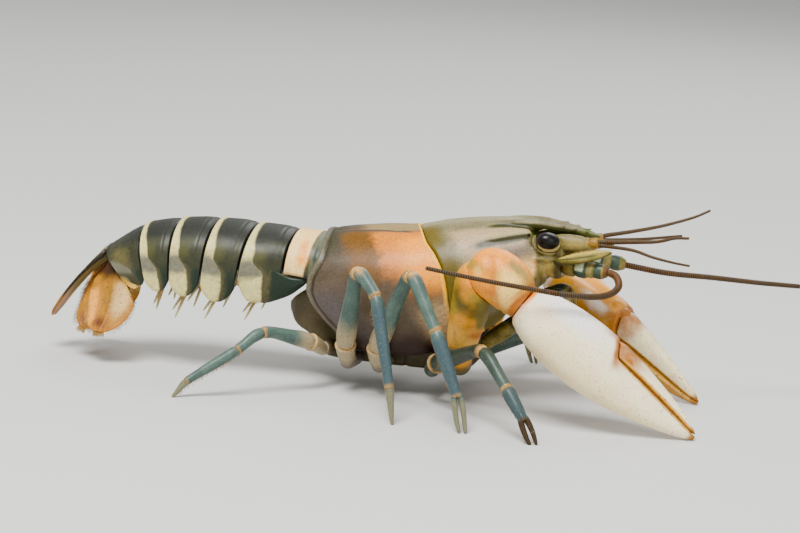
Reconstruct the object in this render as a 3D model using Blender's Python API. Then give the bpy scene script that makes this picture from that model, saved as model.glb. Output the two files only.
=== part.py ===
# A New Guinea zebra crayfish at life size, standing with both claws held low in front.
# Millimetres in the tables, metres in the meshes. +X is the way it faces, +Y its left side, +Z up.
# While it is being shaped, x = 0 is at the rear edge of the carapace and z = 0 is the floor.
# The last step moves the whole animal so that the origin is under the middle of its box.

import math

import bmesh
import bpy
import numpy as np
from mathutils import Vector

# Driving dimensions
carapaceLength = 52.4       # rostrum tip to the rear edge of the carapace
clawLength = 39.2           # wrist to the tip of the fixed finger
gap = 0.3                   # clear space between neighbouring pieces
legSides = 7                # facets round a walking leg
feelerSides = 6             # facets round a feeler
mm = 0.001 * carapaceLength / 52.4

# Surface colours (linear red, green, blue), roughness
paints = {
    "shell_back": ((0.42, 0.24, 0.12), 0.35),
    "shell_head": ((0.30, 0.26, 0.15), 0.35),
    "shell_tail": ((0.05, 0.06, 0.045), 0.3),
    "belly": ((0.30, 0.20, 0.15), 0.5),
    "tail_fan": ((0.70, 0.30, 0.10), 0.35),
    "claw_white": ((0.80, 0.74, 0.68), 0.3),
    "claw_orange": ((0.80, 0.38, 0.12), 0.35),
    "leg_blue": ((0.14, 0.30, 0.33), 0.35),
    "feeler": ((0.20, 0.09, 0.05), 0.4),
    "face": ((0.36, 0.32, 0.16), 0.4),
    "eye": ((0.01, 0.01, 0.02), 0.08),
}


# Small tools

def clearScene():
    for obj in list(bpy.data.objects):
        bpy.data.objects.remove(obj)


def paint(kind, piece):
    """A material of the piece's own, in one of the colours above."""
    colour, roughness = paints[kind]
    material = bpy.data.materials.new(f"{piece}_{kind}")
    material.use_nodes = True
    shader = material.node_tree.nodes["Principled BSDF"]
    shader.inputs["Base Color"].default_value = (*colour, 1)
    shader.inputs["Roughness"].default_value = roughness
    shader.inputs["Metallic"].default_value = 0.0
    return material


def curveAt(keys, x):
    """Smooth value at x through (x, value, ...) keys, with no overshoot."""
    xs = np.array([k[0] for k in keys], float)
    rows = np.array([k[1:] for k in keys], float)
    x = min(max(x, xs[0]), xs[-1])
    i = min(int(np.searchsorted(xs, x, side="right")) - 1, len(xs) - 2)
    step = np.diff(xs)[:, None]
    slope = np.diff(rows, axis=0) / step
    tangent = np.zeros_like(rows)
    tangent[0], tangent[-1] = slope[0], slope[-1]
    for k in range(1, len(xs) - 1):
        same = slope[k - 1] * slope[k] > 0
        tangent[k] = np.where(same, 2 * slope[k - 1] * slope[k] / (slope[k - 1] + slope[k] + 1e-12), 0)
    t = (x - xs[i]) / step[i, 0]
    h = step[i, 0]
    value = ((2 * t**3 - 3 * t**2 + 1) * rows[i] + (t**3 - 2 * t**2 + t) * h * tangent[i]
             + (3 * t**2 - 2 * t**3) * rows[i + 1] + (t**3 - t**2) * h * tangent[i + 1])
    return value if len(value) > 1 else float(value[0])


def unit(v):
    v = np.array(v, float)
    return v / np.linalg.norm(v)


def across(direction, hint):
    """Two unit vectors square to direction, the first as near to hint as it can be."""
    d = unit(direction)
    side = np.array(hint, float)
    side = unit(side - d * (side @ d))
    return side, np.cross(d, side)


def meshObject(name, points, faces, material, origin):
    """An object whose origin is at the point where it grows from its neighbour."""
    base = np.array(origin, float)
    mesh = bpy.data.meshes.new(name)
    mesh.from_pydata([tuple((np.array(p) - base) * mm) for p in points], [], faces)
    mesh.materials.append(paint(material, name))
    obj = bpy.data.objects.new(name, mesh)
    obj.location = Vector(base * mm)
    bpy.context.scene.collection.objects.link(obj)
    turnOut(mesh)
    return obj


def turnOut(mesh):
    """Points every face outwards and splits all faces into triangles."""
    bm = bmesh.new()
    bm.from_mesh(mesh)
    bmesh.ops.triangulate(bm, faces=bm.faces)
    bmesh.ops.recalc_face_normals(bm, faces=bm.faces)
    if bm.calc_volume(signed=True) < 0:
        bmesh.ops.reverse_faces(bm, faces=bm.faces)
    bm.to_mesh(mesh)
    bm.free()
    mesh.shade_smooth()
    mesh.set_sharp_from_angle(angle=math.radians(50))


def loft(name, rings, material, origin=None, capPoints=None):
    """A closed body through rings of equal length, each end closed by a fan round a middle point."""
    rings = [np.array(r, float) for r in rings]
    n = len(rings[0])
    points = [p for ring in rings for p in ring]
    faces = []
    for i in range(len(rings) - 1):
        a, b = i * n, (i + 1) * n
        faces += [(a + j, a + (j + 1) % n, b + (j + 1) % n, b + j) for j in range(n)]
    ends = capPoints or (rings[0].mean(0), rings[-1].mean(0))
    first, last = len(points), len(points) + 1
    points += [np.array(ends[0], float), np.array(ends[1], float)]
    top = (len(rings) - 1) * n
    faces += [(first, (j + 1) % n, j) for j in range(n)]
    faces += [(last, top + j, top + (j + 1) % n) for j in range(n)]
    return meshObject(name, points, faces, material, rings[0].mean(0) if origin is None else origin)


def circleRing(centre, normal, radii, sides, hint=(0, 0, 1), power=2.0):
    """A ring square to normal: radii along hint's direction and across it, power 2 for an ellipse."""
    u, v = across(normal, hint)
    ring = []
    for j in range(sides):
        angle = 2 * math.pi * (j + 0.5) / sides
        c, s = math.cos(angle), math.sin(angle)
        c, s = (math.copysign(abs(w) ** (2 / power), w) for w in (c, s))
        ring.append(np.array(centre, float) + u * c * radii[0] + v * s * radii[1])
    return ring


def roundedPath(corners, bends):
    """Points along straight stretches joined by soft bends, with the corner number of each point."""
    corners = [np.array(c, float) for c in corners]
    bends = [0.0] + list(bends)[:len(corners) - 2] + [0.0]
    path = [(corners[0], 0.0)]
    for i in range(1, len(corners)):
        start, end = corners[i - 1], corners[i]
        length = np.linalg.norm(end - start)
        lead, tail = (min(bends[j], 0.45 * length) for j in (i - 1, i))
        if i > 1:
            path.append((start + (end - start) * lead / length, i - 1 + lead / length))
        path.append((end - (end - start) * tail / length, i - tail / length))
        if i < len(corners) - 1:
            after = corners[i + 1]
            out = min(bends[i], 0.45 * np.linalg.norm(after - end))
            before = end - (end - start) / length * tail
            beyond = end + unit(after - end) * out
            path.append((0.25 * before + 0.5 * end + 0.25 * beyond, float(i)))
    return [p for p, _ in path], [at for _, at in path]


def smoothPath(corners, count):
    """Evenly spread points on a Catmull-Rom curve through the corners."""
    pts = [np.array(c, float) for c in corners]
    pts = [2 * pts[0] - pts[1]] + pts + [2 * pts[-1] - pts[-2]]
    fine = []
    for i in range(1, len(pts) - 2):
        p0, p1, p2, p3 = pts[i - 1:i + 3]
        for t in np.linspace(0, 1, 12, endpoint=False):
            fine.append(0.5 * (2 * p1 + (p2 - p0) * t + (2 * p0 - 5 * p1 + 4 * p2 - p3) * t**2
                               + (3 * p1 - p0 - 3 * p2 + p3) * t**3))
    fine.append(pts[-2])
    fine = np.array(fine)
    run = np.concatenate([[0], np.cumsum(np.linalg.norm(np.diff(fine, axis=0), axis=1))])
    wanted = np.linspace(0, run[-1], count)
    return [np.array([np.interp(w, run, fine[:, k]) for k in range(3)]) for w in wanted]


def tubeRings(path, radii, sides, hint=(0, 0, 1), firstNormal=None, lastNormal=None):
    """Rings square to the path. A radius is one number or (along hint, across hint)."""
    rings = []
    for i, point in enumerate(path):
        before, after = path[max(i - 1, 0)], path[min(i + 1, len(path) - 1)]
        normal = unit(after - before)
        if i == 0 and firstNormal is not None:
            normal = unit(firstNormal)
        if i == len(path) - 1 and lastNormal is not None:
            normal = unit(lastNormal)
        radius = radii[i] if np.ndim(radii[i]) else (radii[i], radii[i])
        rings.append(circleRing(point, normal, radius, sides, hint))
    return rings


def spike(root, tip, radius, sides=5):
    """A pointed cone of few facets, its root to be sunk into the body that carries it."""
    root, tip = np.array(root, float), np.array(tip, float)
    normal = tip - root
    hint = (0, 0, 1) if abs(unit(normal)[2]) < 0.9 else (1, 0, 0)
    rings = [circleRing(root, normal, (radius, radius), sides, hint),
             circleRing(root + normal * 0.55, normal, (radius * 0.55,) * 2, sides, hint),
             circleRing(root + normal * 0.97, normal, (radius * 0.1,) * 2, sides, hint)]
    return loft("spike", rings, "face")


def fuse(base, others, cutters=(), solver="EXACT"):
    """Joins closed pieces to base, then cuts, and keeps the one largest closed surface."""
    for kind, helpers in (("UNION", others), ("DIFFERENCE", cutters)):
        if not helpers:
            continue
        group = bpy.data.collections.new(base.name + "_" + kind.lower())
        for helper in helpers:
            group.objects.link(helper)
        change = base.modifiers.new(kind.lower(), "BOOLEAN")
        change.operation = kind
        change.operand_type = "COLLECTION"
        change.collection = group
        change.solver = solver
        bpy.context.view_layer.update()
        graph = bpy.context.evaluated_depsgraph_get()
        made = bpy.data.meshes.new_from_object(base.evaluated_get(graph))
        base.modifiers.clear()
        base.data = made
        for helper in list(helpers):
            bpy.data.objects.remove(helper)
        bpy.data.collections.remove(group)
    keepLargest(base.data)
    return base


def keepLargest(mesh):
    bm = bmesh.new()
    bm.from_mesh(mesh)
    bmesh.ops.triangulate(bm, faces=bm.faces)
    left, groups = set(bm.faces), []
    while left:
        stack, group = [left.pop()], []
        while stack:
            face = stack.pop()
            group.append(face)
            for edge in face.edges:
                for other in edge.link_faces:
                    if other in left:
                        left.remove(other)
                        stack.append(other)
        groups.append(group)
    groups.sort(key=lambda g: sum(f.calc_area() for f in g))
    loose = [f for g in groups[:-1] for f in g]
    bmesh.ops.delete(bm, geom=loose, context="FACES")
    bm.to_mesh(mesh)
    bm.free()
    mesh.shade_smooth()
    mesh.set_sharp_from_angle(angle=math.radians(50))


def standOnFloor(obj):
    """Cuts off what reaches below z = 0, which leaves a small flat to stand on."""
    bm = bmesh.new()
    bm.from_mesh(obj.data)
    down = -obj.location.z
    geometry = bm.verts[:] + bm.edges[:] + bm.faces[:]
    bmesh.ops.bisect_plane(bm, geom=geometry, dist=1e-7, plane_co=(0, 0, down), plane_no=(0, 0, -1),
                           clear_outer=True)
    rim = [e for e in bm.edges if e.is_boundary]
    bmesh.ops.holes_fill(bm, edges=rim, sides=0)
    bmesh.ops.triangulate(bm, faces=bm.faces)
    bmesh.ops.recalc_face_normals(bm, faces=bm.faces)
    bm.to_mesh(obj.data)
    bm.free()
    return obj


# Carapace: one surface for thorax and head, cut along the cervical groove

# x, top z, half width, z of the widest place, z of the lower margin, half width there
bodySections = [
    (-3, 28.4, 10.6, 19.4, 8.8, 8.6), (0, 29.1, 11.3, 19.0, 8.4, 8.9), (5, 30.1, 12.2, 18.4, 8.1, 9.0),
    (10, 30.8, 12.7, 18.0, 7.8, 8.9), (17, 31.5, 12.9, 18.0, 7.7, 8.5), (23, 33.0, 12.2, 19.0, 9.0, 7.9),
    (29, 34.0, 10.8, 20.6, 11.8, 6.9), (34, 34.5, 9.4, 22.6, 15.2, 6.2), (38, 34.6, 8.2, 25.0, 19.6, 5.8),
    (43, 34.3, 6.7, 27.2, 23.9, 5.2),
]
# s = 0 at the top of the back, 1 at the widest place, 2 at the lower margin
rearEdge = [(0, -0.8), (0.4, -0.2), (0.6, -0.3), (0.8, -1.1), (0.92, -1.8), (1.02, -1.9), (1.15, -1.0),
            (1.3, 1.2), (1.5, 4.4), (2, 8.4)]
grooveEdge = [(0, 17.1), (0.4, 20.0), (0.6, 22.5), (0.8, 24.5), (1.0, 25.6), (2, 28.0)]
frontEdge = [(0, 40.0), (0.35, 39.2), (0.6, 39.4), (0.8, 41.2), (1.0, 42.4), (2, 42.8)]
sideSteps = [0, 0.15, 0.3, 0.45, 0.6, 0.75, 0.88, 1.0, 1.1, 1.22, 1.38, 1.58, 1.8, 2.0]
floorLift = 0.9             # how far the closed underside lies above the lower margin


def shellPoint(x, s, inset=0.0):
    top, half, wide, margin, marginHalf = curveAt(bodySections, x)
    if s <= 1:
        angle = s * math.pi / 2
        y = half * math.sin(angle)
        z = wide + (top - wide) * max(math.cos(angle), 0) ** 0.92
    else:
        angle = (s - 1) * math.pi / 2
        y = marginHalf + (half - marginHalf) * math.cos(angle)
        z = wide - (wide - margin) * math.sin(angle)
    towards = unit((y, z - wide - 1.5))
    return np.array([x, y - towards[0] * inset, z - towards[1] * inset])


def shellRing(startEdge, endEdge, t, inset=0.0, shift=0.0):
    """One ring of the shell, t of the way from one edge curve to the other."""
    side = []
    for s in sideSteps:
        x = curveAt(startEdge, s) * (1 - t) + curveAt(endEdge, s) * t + shift
        side.append(shellPoint(x, s, inset))
    margin = side[-1]
    lift = floorLift - inset * 0.3
    under = [margin + (0, -1.2, lift), np.array([margin[0], margin[1] * 0.45, margin[2] + lift])]
    middle = np.array([margin[0], 0, margin[2] + lift])
    right = side + under
    left = [p * (1, -1, 1) for p in reversed(right[1:])]
    return right + [middle] + left


def thorax():
    rings = [shellRing(rearEdge, grooveEdge, 0.0, 0.85, 1.9), shellRing(rearEdge, grooveEdge, 0.0, 0.8),
             shellRing(rearEdge, grooveEdge, 0.0, 0.15), shellRing(rearEdge, grooveEdge, 0.02, -0.1),
             shellRing(rearEdge, grooveEdge, 0.06, 0.28)]
    rings += [shellRing(rearEdge, grooveEdge, t) for t in (0.12, 0.35, 0.6, 0.82, 0.95)]
    rings.append(shellRing(rearEdge, grooveEdge, 1.0, 0.55, -gap / 2))
    return loft("thorax", rings, "shell_back", (10, 0, 18), ((4.2, 0, 17), (22 - gap / 2, 0, 20)))


# Rostrum: x, half width, top z, thickness
rostrumKeys = [
    (31.5, 2.6, 33.72, 2.0), (36.0, 3.8, 34.6, 2.6), (40.0, 3.7, 34.78, 2.5), (43.5, 2.9, 34.42, 2.1),
    (46.5, 2.2, 33.95, 1.7), (49.0, 1.5, 33.4, 1.3), (50.8, 0.8, 32.95, 0.9), (51.6, 0.3, 32.75, 0.5),
]


def rostrum():
    rings = []
    for x, half, top, thick in rostrumKeys:
        profile = [(0, -0.16 * thick), (0.75, 0.0), (1.0, -0.35 * thick), (0.7, -0.8 * thick)]
        side = [np.array([x, half * a, top + b]) for a, b in profile]
        bottom = np.array([x, 0, top - thick])
        rings.append(side + [bottom] + [p * (1, -1, 1) for p in reversed(side[1:])])
    return loft("rostrum", rings, "shell_head")


def faceBlock():
    """The part of the head under the rostrum that carries eyes and feelers."""
    # x, upper half width, lower half width, top z, bottom z
    keys = [(36.0, 4.0, 6.0, 32.2, 22.6), (42.0, 3.6, 6.6, 32.4, 23.6), (44.6, 3.0, 6.4, 32.3, 23.8),
            (45.5, 2.6, 5.8, 31.8, 24.3)]
    rings = []
    for x, upper, lower, top, bottom in keys:
        wide = bottom + 0.4 * (top - bottom)
        side = [(0, top), (upper * 0.75, top - 0.3), (upper, top - 1.2), (lower, wide),
                (lower * 0.92, bottom + 0.9), (lower * 0.6, bottom)]
        ring = [np.array([x, y, z]) for y, z in side] + [np.array([x, 0, bottom - 0.2])]
        rings.append(ring + [p * (1, -1, 1) for p in reversed(ring[1:-1])])
    return loft("face_block", rings, "shell_head")


eyeCentre = np.array([42.8, 6.3, 31.7])
stalkRoot = np.array([40.7, 2.5, 30.8])
eyeLong, eyeShort, eyeDepth = 2.25, 1.6, 1.7


def eyeFrame(side):
    mirror = np.array([1, side, 1])
    axis = unit((eyeCentre - stalkRoot) * mirror)
    return stalkRoot * mirror, eyeCentre * mirror, axis


def stalk(side, swell=0.0, name="stalk"):
    root, centre, axis = eyeFrame(side)
    keys = [(-swell, 1.15, 1.0), (1.0, 1.25, 1.1), (2.4, 1.6, 1.3), (3.4, 1.95, 1.5), (3.95, 2.05, 1.55)]
    rings = [circleRing(root + axis * d, axis, (a + swell, b + swell), 10, (1, 0, 0)) for d, a, b in keys]
    return loft(name, rings, "face", root)


def cornea(side, swell=0.0, name="cornea"):
    root, centre, axis = eyeFrame(side)
    base = root + axis * (3.95 + gap - swell)
    rings = []
    for t in (0.0, 0.35, 0.68, 0.9, 0.985):
        shrink = math.sqrt(1 - t * t)
        rings.append(circleRing(base + axis * (eyeDepth + 2 * swell) * t, axis,
                                ((eyeLong + swell) * shrink, (eyeShort + swell) * shrink), 10, (1, 0, 0)))
    return loft(name, rings, "eye", root)


def head():
    rings = [shellRing(grooveEdge, frontEdge, 0.0, 0.55, gap / 2)]
    rings += [shellRing(grooveEdge, frontEdge, t) for t in (0.05, 0.2, 0.42, 0.64, 0.84)]
    rings += [shellRing(grooveEdge, frontEdge, 0.97, 0.1), shellRing(grooveEdge, frontEdge, 1.0, 0.5)]
    body = loft("head", rings, "shell_head", (30, 0, 24), ((22 + gap / 2, 0, 20), (40.5, 0, 28)))
    extras, cutters = [rostrum(), faceBlock()], []
    for side in (-1, 1):
        # Teeth on the rim of the rostrum, and the ridge with its spine behind the eye
        for x in (44.6, 46.8, 48.9):
            half, top, thick = curveAt(rostrumKeys, x)
            root = (x - 0.7, side * (half - 0.45), top - 0.45)
            extras.append(spike(root, (x + 0.9, side * (half + 0.35), top + 0.15), 0.5, 4))
        ridge = [shellPoint(x, s, 0.4) * (1, side, 1) for x, s in ((30, 0.50), (34, 0.485), (37.6, 0.47))]
        extras.append(loft("ridge", tubeRings(ridge, (0.3, 0.7, 0.75), 5), "shell_head"))
        tip = shellPoint(39.6, 0.45, -0.45) * (1, side, 1)
        extras.append(spike(ridge[-1] - (0.6, 0, 0), tip, 0.6))
        # Cheek spine below the eye
        cheek = shellPoint(40.6, 0.86, 0.2) * (1, side, 1)
        extras.append(spike(cheek, cheek + (2.2, side * 0.5, 0.2), 0.55))
        cutters += [stalk(side, gap, "stalk_room"), cornea(side, gap + 0.25, "eye_room")]
    return fuse(body, extras, cutters)


def sternum():
    """The plates between the legs, with a wall each side that the leg roots meet."""
    # x, half width, bottom z, top z
    keys = [(-6.6, 2.4, 12.8, 14.8), (-5.4, 3.8, 11.0, 16.0), (-3.2, 4.9, 9.6, 17.2), (-1.0, 5.2, 8.4, 17.6),
            (0.4, 5.3, 7.0, 15.6), (1.8, 5.3, 5.2, 14.0), (4.4, 5.3, 4.9, 11.4), (8.4, 5.3, 4.8, 8.3), (14.0, 5.3, 4.7, 8.2), (20.0, 5.3, 4.7, 8.3),
            (25.0, 5.3, 4.8, 9.3), (29.0, 5.3, 5.6, 11.2), (31.0, 4.6, 7.6, 12.0)]
    rings = []
    for x, half, bottom, top in keys:
        side = [(0, top), (half * 0.97, top - 0.1), (half, top - 0.5), (half, bottom + 0.9),
                (half * 0.86, bottom + 0.1), (half * 0.35, bottom)]
        ring = [np.array([x, y, z]) for y, z in side] + [np.array([x, 0, bottom - 0.25])]
        rings.append(ring + [p * (1, -1, 1) for p in reversed(ring[1:-1])])
    return loft("sternum", rings, "belly")


# Tail: the six rings of the pleon, the telson and the four fan blades

# Each plane between rings: x and z of its top, how it leans (degrees, 0 is upright), half width
tailPlanes = [(1.2, 27.9, 2, 8.3), (-6.3, 28.3, 5, 8.9), (-14.4, 28.7, 8, 9.6), (-22.0, 28.9, 5, 9.5),
              (-29.6, 28.2, -2, 9.2), (-36.6, 26.7, -13, 8.7), (-44.2, 21.4, -42, 6.4)]
archDepths = [6.8, 6.4, 8.0, 8.0, 7.8, 7.2, 4.6]
# Side flaps: depth, place along the ring, reach ahead and behind (shares of the ring's length)
flaps = [(0.5, 0.5, 0.6, 0.6), (2.0, 0.6, 0.6, 0.5), (6.2, 0.5, 0.56, 0.54), (5.6, 0.5, 0.56, 0.54),
         (4.7, 0.5, 0.56, 0.54), (3.4, 0.4, 0.5, 0.62)]


def tailFrame(k, t):
    """Top point, down direction, half width and arch depth, t of the way along ring k."""
    a, b = tailPlanes[k], tailPlanes[k + 1]
    bulge = 0.15 * math.sin(math.pi * t) if 0 < t < 1 else 0
    lean = math.radians(a[2] * (1 - t) + b[2] * t)
    top = np.array([a[0] * (1 - t) + b[0] * t, 0, a[1] * (1 - t) + b[1] * t + bulge])
    down = np.array([-math.sin(lean), 0, -math.cos(lean)])
    return top, down, a[3] * (1 - t) + b[3] * t, archDepths[k] * (1 - t) + archDepths[k + 1] * t


def tailRing(k, t, inset=0.0, flap=0.0):
    """Outline of a tail ring: the arch of the back, a flap of that depth each side, and the belly."""
    top, down, half, arch = tailFrame(k, t)
    half, depth = half - inset, arch - inset
    side = []
    for angle in (0, 18, 36, 54, 72, 90):
        a = math.radians(angle)
        side.append((half * math.sin(a), inset + (depth - inset) * (1 - math.cos(a) ** 0.9)))
    belly = arch + 1.3 - inset
    if flap:
        side += [(half * 1.0, depth + 0.5 + flap * 0.3), (half * 0.985, depth + 0.6 + flap * 0.68),
                 (half * 0.95, depth + 0.7 + flap), (half * 0.95 - 0.6, depth + 0.72 + flap * 0.96),
                 (half - 1.3, depth + 0.6 + flap * 0.4), (half - 1.8, belly + 0.2)]
    else:
        side += [(half, depth + 0.15), (half * 0.99, depth + 0.3), (half * 0.975, depth + 0.45),
                 (half * 0.95, depth + 0.6), (half - 1.3, (depth + 0.8 + belly) / 2),
                 (half - 2.2, belly + 0.1)]
    ring = [top + down * d + np.array([0, y, 0]) for y, d in side]
    middle = top + down * (belly + 0.7)
    return ring + [middle] + [p * (1, -1, 1) for p in reversed(ring[1:])]


def flapAt(k, t):
    depth, centre, ahead, behind = flaps[k]
    reach = (t - centre) / (ahead if t < centre else behind)
    return depth * max(0.0, 1 - abs(reach) ** 2.2) ** 0.5


def swimmeret(k, side):
    """One of a pair of thin paddles under a tail ring: a short stem with two slim blades."""
    top, down, half, arch = tailFrame(k, 0.55)
    root = top + down * (arch + 0.9) + np.array([0, side * half * 0.5, 0])
    knee = root + down * 3.6 + np.array([0.4, side * 0.5, 0])
    stem = loft("stem", tubeRings([root, knee], ((0.95, 0.7), (0.65, 0.5)), 5, (1, 0, 0)), "belly")
    blades = []
    short = 0.7 if k == 4 else 1.0
    for lean, outward, length in ((0.22, 0.2, 7.6 * short), (0.6, -0.05, 6.6 * short)):
        way = unit(down + np.array([-lean, side * outward, 0]))
        path = [knee + way * length * d for d in (-0.08, 0.3, 0.7, 1.0)]
        radii = ((0.5, 0.4), (0.85, 0.36), (0.7, 0.32), (0.25, 0.25))
        blades.append(loft("blade", tubeRings(path, radii, 5, (1, 0, 0)), "belly"))
    return [stem] + blades


# The large second flap, which reaches forward under the first ring: x, lower z, upper z, outer y
secondFlapKeys = [(-15.75, 18.6, 20.6, 9.15), (-15.0, 16.5, 21.6, 9.35), (-13.2, 14.7, 22.0, 9.35),
                  (-10.4, 14.8, 22.2, 9.3), (-7.6, 15.7, 21.0, 9.15), (-5.2, 16.9, 20.2, 8.95),
                  (-3.5, 18.3, 20.1, 8.75), (-2.7, 19.0, 19.8, 8.6)]


def secondFlap(side):
    rings = []
    for x, low, high, out in secondFlapKeys:
        # the lower edge tucks in a little, as all the flaps do
        profile = [(0.0, 0.0), (0.12, 0.35), (0.5, 0.5), (0.88, 0.35), (1.0, 0.0), (0.5, -0.2)]
        ring = []
        for share, bulge in profile:
            y = out - 0.45 - 0.5 * (1 - share) + bulge
            ring.append(np.array([x, side * y, low + (high - low) * share]))
        rings.append(ring)
    return loft("second_flap", rings, "shell_tail")


def tailSegment(k):
    lead = 1.0 / np.linalg.norm(np.array(tailPlanes[k + 1][:2]) - np.array(tailPlanes[k][:2]))
    narrow, room = 1.0, 0.65
    rings = [tailRing(k, -0.4 * lead if k else 0.0, narrow), tailRing(k, 0.32 * lead, narrow)]
    rings += [tailRing(k, t, 0.12, max(flapAt(k, t), 0.3)) for t in (0.45 * lead, 0.24)]
    rings += [tailRing(k, t, 0.0, max(flapAt(k, t), 0.3)) for t in (0.48, 0.72, 0.9)]
    rings.append(tailRing(k, 1.0, 0.06, max(flapAt(k, 1.0), 0.3)))
    if k < 5:
        rings += [tailRing(k, 1.0, room), tailRing(k, 1.0 - 0.8 * lead, room)]
    segment = loft(f"pleon_{k + 1}", rings, "shell_tail")
    extras = []
    for side in (-1, 1):
        if 1 <= k <= 4:
            extras += swimmeret(k, side)
        if k == 1:
            extras.append(secondFlap(side))
    return fuse(segment, extras)


def tailEnd():
    """A point on the rear face of the last ring, and the way that face looks."""
    top, down, _, _ = tailFrame(5, 1.0)
    return top, unit(np.array([down[2], 0, -down[0]]))


def blade(name, root, tip, widthWay, widths, thicknesses, curl=0.0, material="tail_fan", rib=1.35, sway=0.0):
    """A thin plate from root to tip. Both faces are split alike, and a low rib runs down its middle."""
    root, tip = np.array(root, float), np.array(tip, float)
    length = np.linalg.norm(tip - root)
    axis = (tip - root) / length
    wide, face = across(axis, widthWay)
    row = [(-1, 0.0), (-0.72, 0.8), (-0.12, 0.9), (0, rib), (0.12, 0.9), (0.72, 0.8), (1, 0.0)]
    rings = []
    for share, half in widths:
        thick = curveAt(thicknesses, share) / 2
        centre = root + axis * length * share + (face * curl + wide * sway) * share * (1 - share) * 4
        ring = [centre + wide * half * a + face * thick * b for a, b in row]
        ring += [centre + wide * half * a - face * thick * min(b, 0.95) for a, b in reversed(row[1:-1])]
        rings.append(ring)
    return rings if name is None else loft(name, rings, material, root)


def fanPiece(name, root, tip, widthWay, widths, thicknesses, curl, sway=0.0):
    """A blade whose root is cut square to the rear face of the last tail ring and stays behind it."""
    rings = blade(None, root, tip, widthWay, widths, thicknesses, curl, sway=sway)
    place, normal = tailEnd()
    axis = unit(np.array(tip, float) - np.array(root, float))
    for i, point in enumerate(rings[0]):
        rings[0][i] = point + axis * (gap - (point - place) @ normal) / (axis @ normal)
    for n, ring in enumerate(rings[1:]):
        for i, point in enumerate(ring):
            ring[i] = point + normal * max(0, gap + 0.1 * (n + 1) - (point - place) @ normal)
    return loft(name, rings, "tail_fan", rings[0][0])


def tailFan():
    thin = [(0, 1.8), (0.2, 1.1), (1, 0.6)]
    stout = [(0, 1.9), (0.3, 1.1), (1, 0.7)]
    leaf = [(0, 1.35), (0.1, 2.8), (0.24, 4.5), (0.44, 5.1), (0.68, 4.7), (0.86, 3.8), (0.96, 2.5), (1.0, 1.3)]
    slim = [(s, h * 0.76) for s, h in leaf]
    plate = [(0, 3.6), (0.12, 4.3), (0.35, 4.4), (0.6, 4.1), (0.82, 3.6), (0.95, 2.8), (1.0, 1.8)]
    pieces = {
        "telson": [(-44.4, 0, 20.0), (-54.9, 0, 6.7), (0, 1, 0), plate, stout, -0.6],
        "uropod_outer_right": [(-41.6, -4.3, 18.4), (-42.2, -10.4, 6.2), (1, -0.1, 0.2), leaf, thin, -0.8, 0.8],
        "uropod_inner_right": [(-41.6, -2.0, 16.6), (-46.8, -6.6, 6.0), (1, -0.25, -0.15), slim, thin, -0.6],
        "uropod_outer_left": [(-41.6, 4.3, 18.4), (-48.4, 9.6, 6.0), (1, 0.2, -0.4), leaf, thin, 0.8],
        "uropod_inner_left": [(-41.6, 2.0, 16.6), (-49.2, 5.2, 6.8), (1, 0.25, -0.6), slim, thin, 0.6],
    }
    for name, values in pieces.items():
        fanPiece(name, *values)


# Face limbs

def feeler(name, corners, thick, thin, count, sides=None, material="feeler", blunt=1.0):
    path = smoothPath(corners, count)
    radii = [thick + (thin - thick) * (i / (count - 1)) ** 0.8 for i in range(count)]
    radii[-1] *= blunt
    return loft(name, tubeRings(path, radii, sides or feelerSides), material, path[0])


def antennule(side, word, flagella):
    root, tip = np.array([45.5 + gap, side * 2.4, 30.1]), np.array([51.7, side * 3.1, 31.7])
    shares = [(0, 1.25), (0.3, 1.45), (0.48, 1.1), (0.7, 1.2), (0.8, 0.95), (1.0, 1.0)]
    path = [root + (tip - root) * s for s, _ in shares]
    rings = tubeRings(path, [r for _, r in shares], 7, firstNormal=(1, 0, 0))
    stem = loft(f"antennule_{word}", rings, "face", root)
    whips = [feeler("whip", [tip - (1.0, 0, 0.4)] + list(f), a, b, 7, 5) for f, a, b in flagella]
    return fuse(stem, whips)


def antennaBase(side, word, end):
    """The stout jointed base of the long feeler, with the flat pointed scale on its outer side."""
    root, end = np.array([45.5 + gap, side * 4.3, 27.3]), np.array(end, float)
    shares = [(0, 1.65), (0.2, 1.95), (0.38, 1.55), (0.58, 1.7), (0.7, 1.35), (0.9, 1.4), (1.0, 1.1)]
    middle = np.array([49.8, side * 6.2, 27.1])
    path = smoothPath([root, middle, end], 60)
    points = [path[int(s * 59)] for s, _ in shares]
    rings = tubeRings(points, [r for _, r in shares], 9, firstNormal=(1, 0, 0))
    stem = loft(f"antenna_{word}_base", rings, "face", root)
    start, tip = np.array([46.0, side * 6.5, 27.9]), np.array([54.9, side * 7.9, 31.0])
    widths = [(0, 0.9), (0.15, 1.7), (0.4, 2.1), (0.65, 1.8), (0.85, 1.0), (1.0, 0.25)]
    scale = blade("scale", start, tip, (0.1, -side * 0.8, 0.6), widths, [(0, 1.0), (1, 0.6)], 0.0, "face")
    return fuse(stem, [scale])


# The two whips of each small feeler: points, thickness at the root and at the tip
rightWhips = [
    ([(51.9, -3.1, 31.8), (57.9, -4, 32.6), (62.7, -5, 33.3), (66, -6, 34.4), (68.8, -7, 34.8)], 0.55, 0.28),
    ([(51.9, -3.4, 31.3), (58.1, -5, 31.3), (62.2, -7, 30.7), (66.2, -9, 30.4), (69.7, -11, 30.4)],
     0.42, 0.25),
]
leftWhips = [
    ([(51.6, 3.1, 32.1), (56.7, 4, 33.3), (62.2, 5.5, 34.7), (67.6, 7.5, 36.5), (70.7, 9, 38)], 0.48, 0.26),
    ([(51.6, 3.2, 31.3), (58.6, 5, 31.9), (65.9, 8, 32.8)], 0.42, 0.26),
]


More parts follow.
